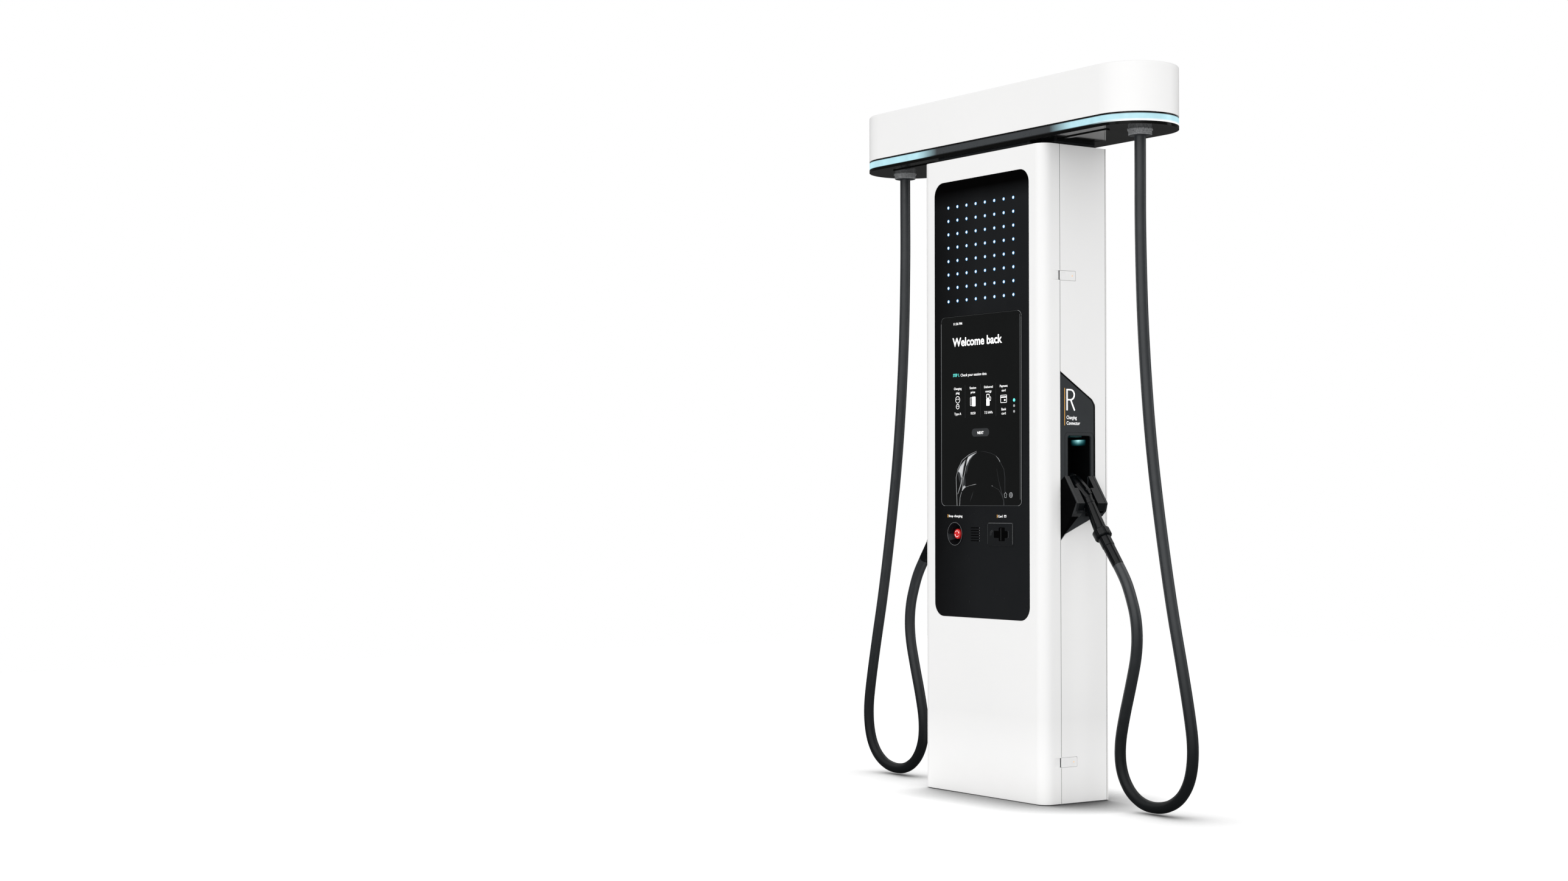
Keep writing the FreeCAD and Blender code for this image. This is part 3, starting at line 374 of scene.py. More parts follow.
def cable_jacket():
    """Matt rubber jacket with fine grain, rubbed lighter in places; painted shade makes it darker and duller in
    its low loop.
    """
    finish = Finish("cable_jacket", (0.0250, 0.0285, 0.0315), 0.36, Specular_IOR_Level=0.5)
    shade = finish.vary_colour(0.18, 12)
    scuff = finish.span(finish.noise(45, 8, (1, 1, 0.15)), 0, 0.5, 0.62, 0.8)
    rubbed = finish.mix(scuff, shade, (0.040, 0.044, 0.048))
    _, _, z = finish.axes()
    # Painted shade: the colour darkens and the specular drops towards the bottom of the low loop.
    finish.link(finish.mix(finish.span(z, 0, 1, *LOOP_SHADE), (0.0062, 0.0074, 0.0084), rubbed),
                finish.shader.inputs["Base Color"])
    finish.link(finish.span(z, 0.16, 0.5, *LOOP_SHADE), finish.shader.inputs["Specular IOR Level"])
    finish.vary_roughness(0.08, 35)
    finish.bump(1300, 0.00006, 4)
    return finish.material


def gland_metal():
    """Rough cast nut: coarse sparkling grain, with a dark face underneath."""
    finish = Finish("gland_metal", (0.20, 0.21, 0.22), 0.55, Metallic=0.35)
    _, _, z = finish.axes()
    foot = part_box("cable_glands")[0].z
    grain = finish.span(finish.noise(620, 4), 0, 1, 0.38, 0.62)
    grain = finish.mix(grain, (0.10, 0.105, 0.11), (0.50, 0.51, 0.52))
    face = finish.mix(finish.span(finish.noise(300, 3), 0, 1), (0.035, 0.040, 0.045), (0.06, 0.065, 0.07))
    finish.link(finish.mix(finish.span(z, 0, 1, foot + 0.0002, foot + 0.0010), face, grain),
                finish.shader.inputs["Base Color"])
    finish.vary_roughness(0.15, 300)
    finish.bump(500, 0.0003, 5)
    return finish.material


def board_green():
    finish = Finish("circuit_board", (0.012, 0.10, 0.045), 0.32)
    traces = finish.span(finish.noise(160, 6, (1, 1, 4)), 0, 1, 0.48, 0.52)
    finish.link(finish.mix(traces, (0.010, 0.08, 0.036), (0.03, 0.16, 0.07)), finish.shader.inputs["Base Color"])
    finish.vary_roughness(0.06, 90)
    finish.bump(500, 0.00003)
    return finish.material


FINISHES = {
    "white_paint": white_paint(), "latch_paint": latch_paint(), "light_ring": light_ring(), "lens": led_lens(),
    "black_glass": black_glass(), "cable_jacket": cable_jacket(), "gland_metal": gland_metal(),
    "board_green": board_green(),
    "gloss_black": plain("gloss_black", (0.006, 0.006, 0.007), 0.05, (0.2, 6), (0.025, 12), (700, 0.000006),
                         Specular_IOR_Level=0.25),
    "display_glass": plain("display_glass", (0.0085, 0.0090, 0.0090), 0.14, (0.15, 4), (0.04, 22), (400, 0.000006),
                           Specular_IOR_Level=0.12),
    "dark_plastic": plain("dark_plastic", (0.026, 0.030, 0.033), 0.48, (0.12, 8), (0.07, 45), (1500, 0.00005, 4),
                          Specular_IOR_Level=0.33),
    "black_plastic": plain("black_plastic", (0.0026, 0.0033, 0.0039), 0.17, (0.2, 20), (0.04, 60),
                           (1400, 0.00002, 3), edge=0.0010, Specular_IOR_Level=0.21),
    "soft_black": plain("soft_black", (0.0034, 0.0042, 0.0049), 0.24, (0.2, 30), (0.05, 70), (1100, 0.00005, 4),
                        Specular_IOR_Level=0.21),
    "red_plastic": plain("red_plastic", (0.72, 0.018, 0.018), 0.28, (0.12, 60), (0.05, 120), (900, 0.00003)),
    "steel": plain("zinc_steel", (0.46, 0.47, 0.48), 0.38, (0.2, 14), (0.1, 40, (1, 1, 0.2)), (600, 0.00002),
                   Metallic=0.9),
    "device_grey": plain("device_grey", (0.30, 0.31, 0.32), 0.5, (0.1, 18), (0.06, 60), (1200, 0.00004))}

POCKET = pocket_lining()
CRADLE = plain("cradle_plastic", (0.0092, 0.0105, 0.0117), 0.36, (0.12, 12), (0.05, 50), (1500, 0.00003, 3),
               edge=0.0012, Specular_IOR_Level=0.29)
PLATE_BLACK = plain("plate_black", (0.0035, 0.0036, 0.0034), 0.10, (0.2, 6), (0.03, 12), (700, 0.000006),
                    Specular_IOR_Level=0.10)
# Lighter grey for the painted reflection low in the stop button's bowl.
BOWL_REFLECTION_GREY = plain("bowl_painted_reflection", (0.022, 0.026, 0.029), 0.3, (0.15, 60), (0.05, 90), (900, 0.00002),
                  Specular_IOR_Level=0.2)
# Hardly shines; for the card window, and for painted shade in gaps, seams, grooves and slots and on shaded facets.
DEEP_BLACK = plain("deep_black", (0.0011, 0.0011, 0.0012), 0.8, (0.3, 40), (0.08, 60), (1500, 0.00005, 3),
                   Specular_IOR_Level=0.03)

# Nodes whose finish differs from their slot's.
SPECIAL = {
    "holster_lenses": pocket_light(), "holster_pocket_right": POCKET, "holster_pocket_left": POCKET,
    "cradle_shell_right": CRADLE, "cradle_shell_left": CRADLE, "card_reader": FINISHES["black_glass"],
    "card_window": DEEP_BLACK, "estop_housing": FINISHES["gloss_black"], "canopy_plate": PLATE_BLACK}

# Where a grip meets its collar, as x and z, and each grip piece's tilt in degrees and outer profile, as heights
# along its own axis with their radii.
GRIP_JOINT = (0.3953, 0.819)
GRIP_PROFILES = (
    ("connector_handle_", 30.5, ((0.014, 0.01955), (0.030, 0.0194), (0.094, 0.0159))),
    ("connector_collar_", 37.4, ((-0.0135, 0.027), (0.0065, 0.027))),
    ("strain_relief_", 37.4, ((-0.114, 0.01755), (-0.053, 0.01815), (-0.0525, 0.0182))),
    ("strain_relief_", 37.4, ((-0.049, 0.0194), (-0.018, 0.0196))))


def paint(obj, material):
    obj.data.materials.clear()
    obj.data.materials.append(material)


def paint_nodes():
    slots = {part["node"]: part["material_slot"] for part in frame["record"]["subparts"]}
    for name, node in NODES.items():
        paint(node, SPECIAL.get(name, FINISHES[slots[name]]))
    paint_bowl_reflection(NODES["estop_housing"])
    for side_name, side in SIDES:
        shade_flare(NODES["cradle_shell_" + side_name])
        for stem, tilt, profile in GRIP_PROFILES:
            blacken_grooves(NODES[stem + side_name], side, tilt, profile)


GROOVE_DEPTH = 0.0003


def blacken_grooves(node, side, tilt, profile):
    """Faces below the grip's outer profile, given as (height along its axis, radius), are deep black, as painted
    shade in the grooves.
    """
    node.data.materials.append(DEEP_BLACK)
    lean = math.radians(tilt)
    axis = Vector((-side * math.sin(lean), 0, math.cos(lean)))
    origin = Vector((side * GRIP_JOINT[0], CABLE_Y, GRIP_JOINT[1]))
    for face in node.data.polygons:
        offset = face.center - origin
        along = offset.dot(axis)
        for (z0, r0), (z1, r1) in zip(profile, profile[1:]):
            if z0 <= along <= z1:
                radius = r0 + (r1 - r0) * (along - z0) / (z1 - z0)
                if (offset - axis * along).length < radius - GROOVE_DEPTH:
                    face.material_index = 1


BOWL_INNER, BOWL_OUTER = 0.0225, 0.0349
BOWL_BAND = (-0.75, 0.02)


def paint_bowl_reflection(housing):
    """A band of the bowl's wall, low on its left-hand side, is a lighter grey, a painted reflection; BOWL_BAND is
    its slopes.
    """
    housing.data.materials.append(BOWL_REFLECTION_GREY)
    low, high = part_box("estop_housing")
    middle = (low + high) / 2
    for face in housing.data.polygons:
        u, v = face.center.x - middle.x, face.center.z - middle.z
        in_bowl = BOWL_INNER < math.hypot(u, v) < BOWL_OUTER
        if in_bowl and u < 0 and BOWL_BAND[0] < v / -u < BOWL_BAND[1] and face.normal.dot(Vector((u, 0, v))) < 0:
            face.material_index = 1


FLARE_DEPTH = 0.0138
FLARE_FOOT = 0.8680


def shade_flare(cradle):
    """The cradle's facets that slope forward to the seam, and those below it, are deep black: painted shadow cast
    by the holster.
    """
    cradle.data.materials.append(DEEP_BLACK)
    low = min((cradle.matrix_world @ vert.co).y for vert in cradle.data.vertices)
    for face in cradle.data.polygons:
        middle = cradle.matrix_world @ face.center
        if middle.y < low + FLARE_DEPTH or middle.z < FLARE_FOOT:
            face.material_index = 1


paint_nodes()
for side_cord in CORDS.values():
    paint(side_cord, FINISHES["cable_jacket"])


# ---------------------------------------------------------------- printed and lit marks, painted highlights and painted shade
def arc(u, v, half_u, half_v, angles):
    """Points of an ellipse round (u, v), one at each angle in degrees."""
    return [(u + half_u * math.cos(math.radians(a)), v + half_v * math.sin(math.radians(a))) for a in angles]


def ring(u, v, half_u, half_v, count):
    return arc(u, v, half_u, half_v, [360 * i / count for i in range(count)])


def rounded(u0, u1, v0, v1, radius, steps):
    """Corner points of a rounded rectangle, anticlockwise."""
    points = []
    for cu, cv, start in ((u1 - radius, v0 + radius, -90), (u1 - radius, v1 - radius, 0),
                          (u0 + radius, v1 - radius, 90), (u0 + radius, v0 + radius, 180)):
        points += arc(cu, cv, radius, radius, [start + 90 * i / steps for i in range(steps + 1)])
    return points


def stretched(u, v, squeeze):
    return Matrix.Translation((u, v, 0)) @ Matrix.Diagonal((squeeze, 1, 1, 1))


CAP_SHARE = 0.69  # of the font's size
WELD = 1e-7


class Marks:
    """Flat shapes in a plane, u to the right and v up in metres, raised into one thin solid."""

    def __init__(self):
        self.bm = bmesh.new()

    def polygon(self, points):
        self.bm.faces.new([self.bm.verts.new((u, v, 0)) for u, v in points])

    def bar(self, u0, u1, v0, v1, radius=0.0, steps=6):
        if radius <= 0:
            return self.polygon([(u0, v0), (u1, v0), (u1, v1), (u0, v1)])
        return self.polygon(rounded(u0, u1, v0, v1, radius, steps))

    def disc(self, u, v, radius, steps=24):
        self.polygon(ring(u, v, radius, radius, steps))

    def stroke(self, points, width, closed=False):
        """A band of even or tapering width along a run of points."""
        count = len(points)
        widths = [width] * count if isinstance(width, (int, float)) else width
        rows = []
        for i, (u, v) in enumerate(points):
            before = points[i - 1] if (i or closed) else points[i]
            after = points[(i + 1) % count] if (i < count - 1 or closed) else points[i]
            du, dv = after[0] - before[0], after[1] - before[1]
            length = math.hypot(du, dv)
            nu, nv = -dv / length * widths[i] / 2, du / length * widths[i] / 2
            rows.append((self.bm.verts.new((u + nu, v + nv, 0)), self.bm.verts.new((u - nu, v - nv, 0))))
        last = count if closed else count - 1
        for i in range(last):
            (a, b), (c, d) = rows[i], rows[(i + 1) % count]
            self.bm.faces.new((a, b, d, c))

    def outline(self, u0, u1, v0, v1, radius, width):
        self.stroke(rounded(u0, u1, v0, v1, radius, 6), width, closed=True)

    def words(self, text, u, v, size, align="LEFT", squeeze=1.0, weight=0.0):
        """Letters of cap height `size`, with their baseline at v."""
        curve = bpy.data.curves.new("letters", "FONT")
        curve.body = text
        curve.size = size / CAP_SHARE
        curve.align_x = align
        curve.resolution_u = 3
        curve.offset = weight
        letters = bpy.data.objects.new("letters", curve)
        bpy.context.collection.objects.link(letters)
        mesh = bpy.data.meshes.new_from_object(letters)
        mesh.transform(stretched(u, v, squeeze))
        self.bm.from_mesh(mesh)
        bpy.data.objects.remove(letters)
        bpy.data.meshes.remove(mesh)

    def raise_on(self, name, place, thickness, material, body, slot):
        """Gives the shapes a thickness and puts them on a surface through place(u, v, w)."""
        bm = self.bm
        bmesh.ops.remove_doubles(bm, verts=bm.verts, dist=WELD)
        bmesh.ops.recalc_face_normals(bm, faces=bm.faces)
        for face in bm.faces:
            if face.normal.z < 0:
                face.normal_flip()
        grown = bmesh.ops.extrude_face_region(bm, geom=list(bm.faces))
        for item in grown["geom"]:
            if isinstance(item, bmesh.types.BMVert):
                item.co.z = thickness
        for vert in bm.verts:
            vert.co = place(*vert.co)
        bmesh.ops.recalc_face_normals(bm, faces=bm.faces)
        mesh = bpy.data.meshes.new(name)
        bm.to_mesh(mesh)
        bm.free()
        piece = bpy.data.objects.new(name, mesh)
        bpy.context.collection.objects.link(piece)
        paint(piece, material)
        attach(piece, body)
        return piece


def lit_ink(name, colour, strength):
    """Ink, lit pixel areas and painted highlights, each with a faint uneven glow."""
    finish = Finish(name, tuple(c * 0.6 for c in colour), 0.4)
    finish.glow(colour, finish.span(finish.noise(120, 3), strength * 0.92, strength * 1.05))
    finish.vary_roughness(0.08, 200)
    finish.bump(1500, 0.00001)
    return finish.material


WHITE_INK = lit_ink("ink_white", (1.0, 1.0, 1.0), 0.95)
GREY_INK = lit_ink("ink_grey", (0.42, 0.43, 0.44), 0.5)
FAINT_INK = lit_ink("ink_faint", (0.025, 0.027, 0.029), 0.6)
CYAN_INK = lit_ink("ink_cyan", (0.13, 0.80, 0.72), 0.9)
ORANGE_INK = lit_ink("ink_orange", (0.95, 0.47, 0.09), 0.88)
# Painted highlights on edges and rims.
HIGHLIGHT_INK = lit_ink("ink_highlight", (0.20, 0.205, 0.21), 0.8)
DIM_INK = lit_ink("ink_dim", (0.055, 0.058, 0.060), 0.7)
FOLD_INK = lit_ink("ink_fold", (0.026, 0.028, 0.030), 0.5)
BRIGHT_INK = lit_ink("ink_bright", (0.62, 0.63, 0.64), 0.42)

GLASS_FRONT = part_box("glass_panel")[0].y
SCREEN_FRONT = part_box("display_glass")[0].y
BEZEL_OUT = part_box("holster_bezel_right")[1].x
INK = 0.00012


def facing_front(y):
    """Puts marks on a face that looks along -Y."""
    def place(u, v, w):
        return Vector((u, y - w, v))
    return place


def facing_side(side, x):
    """Puts marks on a face that looks along +X or -X, with u along +Y."""
    def place(u, v, w):
        return Vector((side * (x + w), u, v))
    return place


def readable_from(side, x):
    """As facing_side, with u running from left to right for a reader, so that words aren't mirrored."""
    def place(u, v, w):
        return Vector((side * (x + w), side * u, v))
    return place


ON_GLASS = facing_front(GLASS_FRONT)
ON_SCREEN = facing_front(SCREEN_FRONT)


def screen_picture():
    """What the lit screen shows: a clock, a greeting, four columns and a button."""
    white, grey, faint, cyan = Marks(), Marks(), Marks(), Marks()
    white.words("11:36 PM", -0.1355, 1.4715, 0.0072, squeeze=1.15, weight=0.0001)
    white.words("Welcome back", -0.137, 1.404, 0.0262, squeeze=1.03, weight=0.0008)
    cyan.words("STEP 1.", -0.136, 1.3082, 0.0090, squeeze=0.80, weight=0.0002)
    white.words("Check your session data", -0.0985, 1.3078, 0.0084, squeeze=1.06)
    columns = ((-0.113, ("Charging", "plug"), ("Type A",)), (-0.0375, ("Session", "price"), ("10.50",)),
               (0.0385, ("Delivered", "energy"), ("7.5 kWh",)), (0.1115, ("Payment", "card"), ("Bank", "card")))
    for x, heads, values in columns:
        for row, head in enumerate(heads):
            white.words(head, x, 1.2665 - 0.0135 * row, 0.0070, "CENTER", 1.06, 0.00008)
        first = 1.1868 if len(values) == 1 else 1.1945
        for row, value in enumerate(values):
            white.words(value, x, first - 0.0125 * row, 0.0076, "CENTER", 1.04)
    for x in (-0.0765, -0.0008, 0.0741):
        faint.bar(x - 0.0004, x + 0.0004, 1.1768, 1.281)
    plug_icon(white, -0.113, 1.226)
    price_icon(white, -0.0375, 1.227)
    pump_icon(white, 0.0375, 1.229)
    card_icon(white, 0.1115, 1.230, 0.0142)
    cyan.disc(0.1610, 1.2246, 0.0052)
    for v in (1.2073, 1.1899):
        grey.disc(0.1609, v, 0.0040)
    faint.bar(-0.043, 0.0414, 1.117, 1.1421, 0.012)
    button_words = Marks()
    button_words.words("NEXT", -0.001, 1.1247, 0.0078, "CENTER", 1.05, 0.0002)
    home_icon(grey, 0.119, 0.934)
    globe_icon(grey, 0.145, 0.934)
    for name, marks, ink in (("screen_white", white, WHITE_INK), ("screen_grey", grey, GREY_INK),
                             ("screen_faint", faint, FAINT_INK), ("screen_cyan", cyan, CYAN_INK)):
        marks.raise_on(name, ON_SCREEN, INK, ink, "front_door", "display_glass")
    button_words.raise_on("screen_button_words", facing_front(SCREEN_FRONT - INK), INK,
                          WHITE_INK, "front_door", "display_glass")


def screen_edge_highlights():
    """Painted highlights on the display's polished edge: a double line on the right, one on the left and the foot.
    """
    edge, dim = Marks(), Marks()
    low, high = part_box("display_glass")
    half, foot, top = high.x, low.z, high.z
    corner, bend = 0.018, 0.0166
    for ink, inset, width, first, last in ((edge, 0.0014, 0.0013, 0.016, -0.020),
                                           (dim, 0.0068, 0.0026, 0.020, -0.012)):
        ink.bar(half - inset - width, half - inset, foot + first, top + last)
    edge.bar(-half + 0.0008, -half + 0.0020, foot + 0.016, top - 0.020)
    dim.bar(-half + corner, half - corner, foot + 0.0006, foot + 0.0018)
    dim.bar(-half + corner, half - corner, top - 0.0013, top - 0.0008)
    for ink, sign, level, start in ((edge, -1, foot, 180), (edge, 1, foot, 270), (edge, 1, top, 0),
                                    (dim, -1, top, 90)):
        inward = 1 if level == foot else -1
        ink.stroke(arc(sign * (half - corner), level + inward * corner, bend, bend, range(start, start + 91, 9)),
                   0.0011)
    edge.raise_on("screen_edge_highlight", ON_SCREEN, INK, HIGHLIGHT_INK, "front_door", "display_glass")
    dim.raise_on("screen_edge_highlight_dim", ON_SCREEN, INK, DIM_INK, "front_door", "display_glass")


def plug_icon(ink, u, v):
    """Round plug face above a smaller one."""
    for dv, r in ((0.009, 0.0105), (-0.0125, 0.0075)):
        ink.stroke(ring(u, v + dv, r, r, 24), 0.0014, closed=True)
        for du in (-0.38, 0.38):
            ink.disc(u + du * r, v + dv + 0.15 * r, r * 0.17, 12)


def price_icon(ink, u, v):
    ink.bar(u - 0.0035, u + 0.0125, v - 0.0150, v + 0.0150, 0.002)
    ink.outline(u - 0.0125, u - 0.0055, v - 0.0125, v + 0.0125, 0.0015, 0.0011)


def pump_icon(ink, u, v):
    ink.bar(u - 0.009, u + 0.006, v - 0.0175, v + 0.004, 0.001)
    ink.outline(u - 0.0082, u + 0.0052, v + 0.006, v + 0.0178, 0.002, 0.0018)
    ink.stroke([(u + 0.006, v - 0.002), (u + 0.0115, v - 0.002), (u + 0.0125, v + 0.007), (u + 0.009, v + 0.011)],
               0.0016)


def card_icon(ink, u, v, half):
    ink.outline(u - half, u + half, v - 0.80 * half, v + 0.80 * half, half * 0.12, half * 0.10)
    ink.bar(u - half, u + half, v + 0.26 * half, v + 0.50 * half)
    ink.bar(u + 0.15 * half, u + 0.65 * half, v - 0.42 * half, v - 0.1 * half, 0.0004)


def home_icon(ink, u, v):
    ink.stroke([(u - 0.0065, v + 0.001), (u, v + 0.0085), (u + 0.0065, v + 0.001)], 0.0014)
    ink.stroke([(u - 0.0042, v), (u - 0.0042, v - 0.0075), (u + 0.0042, v - 0.0075), (u + 0.0042, v)], 0.0014)


def globe_icon(ink, u, v):
    for squeeze in (1.0, 0.45):
        ink.stroke(ring(u, v, 0.0075 * squeeze, 0.0078, 24), 0.0011, closed=True)
    ink.bar(u - 0.0075, u + 0.0075, v - 0.0005, v + 0.0005)


def light_shape():
    """Folds of light at the foot of the screen: two nested arches, brightest on their left."""
    white, grey, dim = Marks(), Marks(), Marks()
    grey.stroke([(-0.1172, 0.9010), (-0.1195, 0.9450), (-0.1215, 0.9900), (-0.1125, 1.0170), (-0.0910, 1.0440),
                 (-0.0580, 1.0605), (-0.0200, 1.0710)], [0.0016, 0.0013, 0.0013, 0.0011, 0.0010, 0.0009, 0.0006])
    dim.stroke([(0.0000, 1.0705), (0.0265, 1.0680), (0.0500, 1.0635), (0.0730, 1.0560), (0.0935, 1.0365),
                (0.1115, 1.0140), (0.1165, 0.9900), (0.1165, 0.9445)],
               [0.0004, 0.0010, 0.0010, 0.0010, 0.0018, 0.0024, 0.0026, 0.0020])
    grey.stroke([(0.0745, 1.0548), (0.0870, 1.0450), (0.0935, 1.0370)], [0.0004, 0.0012, 0.0014])
    dim.polygon([(-0.1150, 1.0100), (-0.1010, 1.0290), (-0.0730, 1.0480), (-0.0815, 1.0230), (-0.0880, 0.9950),
                 (-0.1000, 0.9690), (-0.1080, 0.9850)])
    grey.polygon([(-0.1120, 1.0095), (-0.1005, 1.0260), (-0.0745, 1.0455), (-0.0840, 1.0230), (-0.0900, 0.9960),
                  (-0.0960, 0.9880), (-0.1030, 1.0040)])
    white.polygon([(-0.1085, 1.0095), (-0.0985, 1.0235), (-0.0835, 1.0330), (-0.0890, 1.0120), (-0.0930, 1.0010)])
    grey.stroke([(-0.0905, 0.9930), (-0.0960, 0.9720), (-0.1050, 0.9540), (-0.1138, 0.9370)],
                [0.0030, 0.0030, 0.0022, 0.0008])
    dim.polygon([(-0.0745, 1.0200), (-0.0690, 1.0460), (-0.0600, 1.0565), (-0.0440, 1.0620), (-0.0160, 1.0685),
                 (-0.0370, 1.0560), (-0.0520, 1.0420), (-0.0620, 1.0230), (-0.0690, 1.0000)])
    grey.polygon([(-0.0722, 1.0245), (-0.0675, 1.0440), (-0.0605, 1.0545), (-0.0440, 1.0605), (-0.0180, 1.0675),
                  (-0.0390, 1.0575), (-0.0555, 1.0455), (-0.0650, 1.0320)])
    white.polygon([(-0.0665, 1.0430), (-0.0600, 1.0530), (-0.0440, 1.0590), (-0.0540, 1.0480), (-0.0620, 1.0380)])
    grey.stroke([(-0.0722, 1.0250), (-0.0795, 1.0010), (-0.0865, 0.9830), (-0.0900, 0.9560)],
                [0.0012, 0.0018, 0.0016, 0.0010])
    dim.polygon([(-0.0860, 0.9810), (-0.0800, 0.9980), (-0.0750, 0.9800), (-0.0745, 0.9640), (-0.0890, 0.9600)])
    grey.polygon([(-0.0935, 0.9460), (-0.0900, 0.9580), (-0.0810, 0.9650), (-0.0735, 0.9600), (-0.0840, 0.9535)])
    grey.stroke([(-0.1042, 0.9010), (-0.1024, 0.9265), (-0.0945, 0.9440)], [0.0013, 0.0010, 0.0010])
    grey.stroke([(-0.0740, 0.9598), (-0.0485, 0.9650), (-0.0310, 0.9672), (-0.0225, 0.9680)],
                [0.0004, 0.0005, 0.0012, 0.0006])
    grey.stroke([(0.0535, 0.9630), (0.0580, 0.9615)], 0.0010)
    dim.stroke([(0.0580, 0.9615), (0.0870, 0.9505), (0.1010, 0.9355), (0.1105, 0.9175), (0.1115, 0.9010)],
               [0.0008, 0.0012, 0.0026, 0.0040, 0.0060])
    dim.stroke([(0.0775, 1.0150), (0.0870, 0.9775), (0.0985, 0.9475), (0.1080, 0.9265)],
               [0.0008, 0.0012, 0.0026, 0.0016])
    dim.stroke([(-0.0365, 0.9460), (-0.0440, 0.9300), (-0.0530, 0.9145)], [0.0004, 0.0030, 0.0004])
    for name, marks, ink, step in (("light_dim", dim, FOLD_INK, 1.0), ("light_grey", grey, GREY_INK, 1.6),
                                   ("light_white", white, BRIGHT_INK, 2.2)):
        marks.raise_on(name, ON_SCREEN, step * INK, ink, "front_door", "display_glass")


def glass_labels():
    white, orange = Marks(), Marks()
    orange.bar(-0.1650, -0.1634, 0.8640, 0.8735)
    white.words("Stop charging", -0.1605, 0.8652, 0.0070, squeeze=1.24, weight=0.00003)
    orange.bar(0.0777, 0.0791, 0.8640, 0.8735)
    white.words("Card", 0.0825, 0.8652, 0.0072, squeeze=1.02, weight=0.00005)
    white.outline(0.1118, 0.1212, 0.8657, 0.8720, 0.0006, 0.0007)
    white.bar(0.1118, 0.1212, 0.8693, 0.8708)
    white.raise_on("glass_labels_white", ON_GLASS, INK, WHITE_INK, "front_door", "black_glass")
    orange.raise_on("glass_labels_orange", ON_GLASS, INK, ORANGE_INK, "front_door", "black_glass")


ARROW_RADIUS = 0.0094
ARROW_HEAD = (0.0111, 0.0077)
RING_HIGHLIGHT_RADIUS = 0.0359


def stop_button_marks():
    """A painted highlight as a fine bright line on the ring, and two turning arrows on the red head."""
    low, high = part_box("estop_head")
    u, v = (low.x + high.x) / 2, (low.z + high.z) / 2
    arrows = Marks()
    for start in (25, 205):
        arrows.stroke(arc(u, v, ARROW_RADIUS, ARROW_RADIUS, range(start, start + 122, 11)), 0.0010)
        head = arc(u, v, ARROW_RADIUS, ARROW_RADIUS, [start - 20])
        for radius in ARROW_HEAD:
            head += arc(u, v, radius, radius, [start])
        arrows.polygon(head)
    arrows.raise_on("stop_arrows", facing_front(low.y), INK, WHITE_INK, "estop_button", "lens")
    line = Marks()
    line.stroke(ring(u, v, RING_HIGHLIGHT_RADIUS, RING_HIGHLIGHT_RADIUS, 72), 0.0006, closed=True)
    line.raise_on("stop_ring_highlight", facing_front(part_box("estop_housing")[0].y), INK / 2, HIGHLIGHT_INK, "front_door",
                  "gloss_black")


SLOT_U = (-0.050, -0.006)
SLOT_V = [0.792 + 0.008 * i for i in range(6)]
SLOT_SHADE_DEPTH = 0.0004
END_DEPTH = 0.0002


def speaker_slots():
    """A deep black sheet just inside each slot as painted shade, and a painted highlight at its right-hand end."""
    slot_shade, ends = Marks(), Marks()
    for v in SLOT_V:
        slot_shade.bar(SLOT_U[0] + 0.0001, SLOT_U[1] - 0.0001, v - 0.0015, v + 0.0015, 0.0014)
        ends.bar(SLOT_U[1] - 0.0022, SLOT_U[1] - 0.0008, v - 0.0012, v + 0.0012, 0.0004)
    slot_shade.raise_on("speaker_slot_shade", facing_front(GLASS_FRONT + SLOT_SHADE_DEPTH), INK, DEEP_BLACK,
                   "front_door", "soft_black")
    ends.raise_on("speaker_slot_highlights", facing_front(GLASS_FRONT + END_DEPTH), INK, HIGHLIGHT_INK, "front_door",
                  "black_glass")


def card_reader_lines():
    """Painted highlight along the edge round three sides of the reader, and a contactless mark beside its window.
    """
    low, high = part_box("card_reader")
    edge, dim = Marks(), Marks()
    dim.stroke([(low.x + 0.0024, low.z + 0.006), (low.x + 0.0024, high.z - 0.006),
                (low.x + 0.006, high.z - 0.0024)], 0.0007)
    edge.stroke([(low.x + 0.007, high.z - 0.0024), (high.x - 0.006, high.z - 0.0024),
                 (high.x - 0.0024, high.z - 0.006), (high.x - 0.0024, low.z + 0.006)], 0.0005)
    middle = (low.z + high.z) / 2
    for radius in (0.0085, 0.0125):
        dim.stroke(arc(low.x + 0.0270, middle, -radius, radius, range(-20, 91, 10)), 0.0008)
    dim.stroke([(high.x - 0.0255, middle + 0.0100), (high.x - 0.0220, middle + 0.0100),
                (high.x - 0.0220, middle - 0.0100), (high.x - 0.0255, middle - 0.0100)], 0.0008)
    dim.bar(low.x + 0.0655, low.x + 0.0665, middle - 0.019, middle + 0.019)
    for name, marks, ink in (("card_reader_edge_highlight", edge, HIGHLIGHT_INK), ("card_reader_marks", dim, DIM_INK)):
        marks.raise_on(name, facing_front(low.y), INK, ink, "front_door", "black_glass")


def side_letter(ink, letter, left, foot, top):
    """Tall thin R or L drawn with strokes."""
    stem, thin = 0.0050, 0.0038
    ink.bar(left, left + stem, foot, top)
    if letter == "L":
        return ink.bar(left + stem, left + 0.033, foot, foot + thin)
    middle = foot + 0.47 * (top - foot)
    bend = (top - middle) / 2
    turn = left + 0.0165
    bowl = [(left + stem, top - thin / 2), (turn, top - thin / 2)]
    bowl += arc(turn, middle + bend, 0.0150, bend - thin / 2, range(75, -90, -15))
    bowl += [(turn, middle + thin / 2), (left + stem, middle + thin / 2)]
    swell = [thin + 0.0012 * math.cos(math.radians(a)) for a in range(75, -90, -15)]
    ink.stroke(bowl, [thin, thin] + swell + [thin, thin])
    return ink.stroke([(left + 0.0180, middle), (left + 0.0328, foot)], 0.0048)


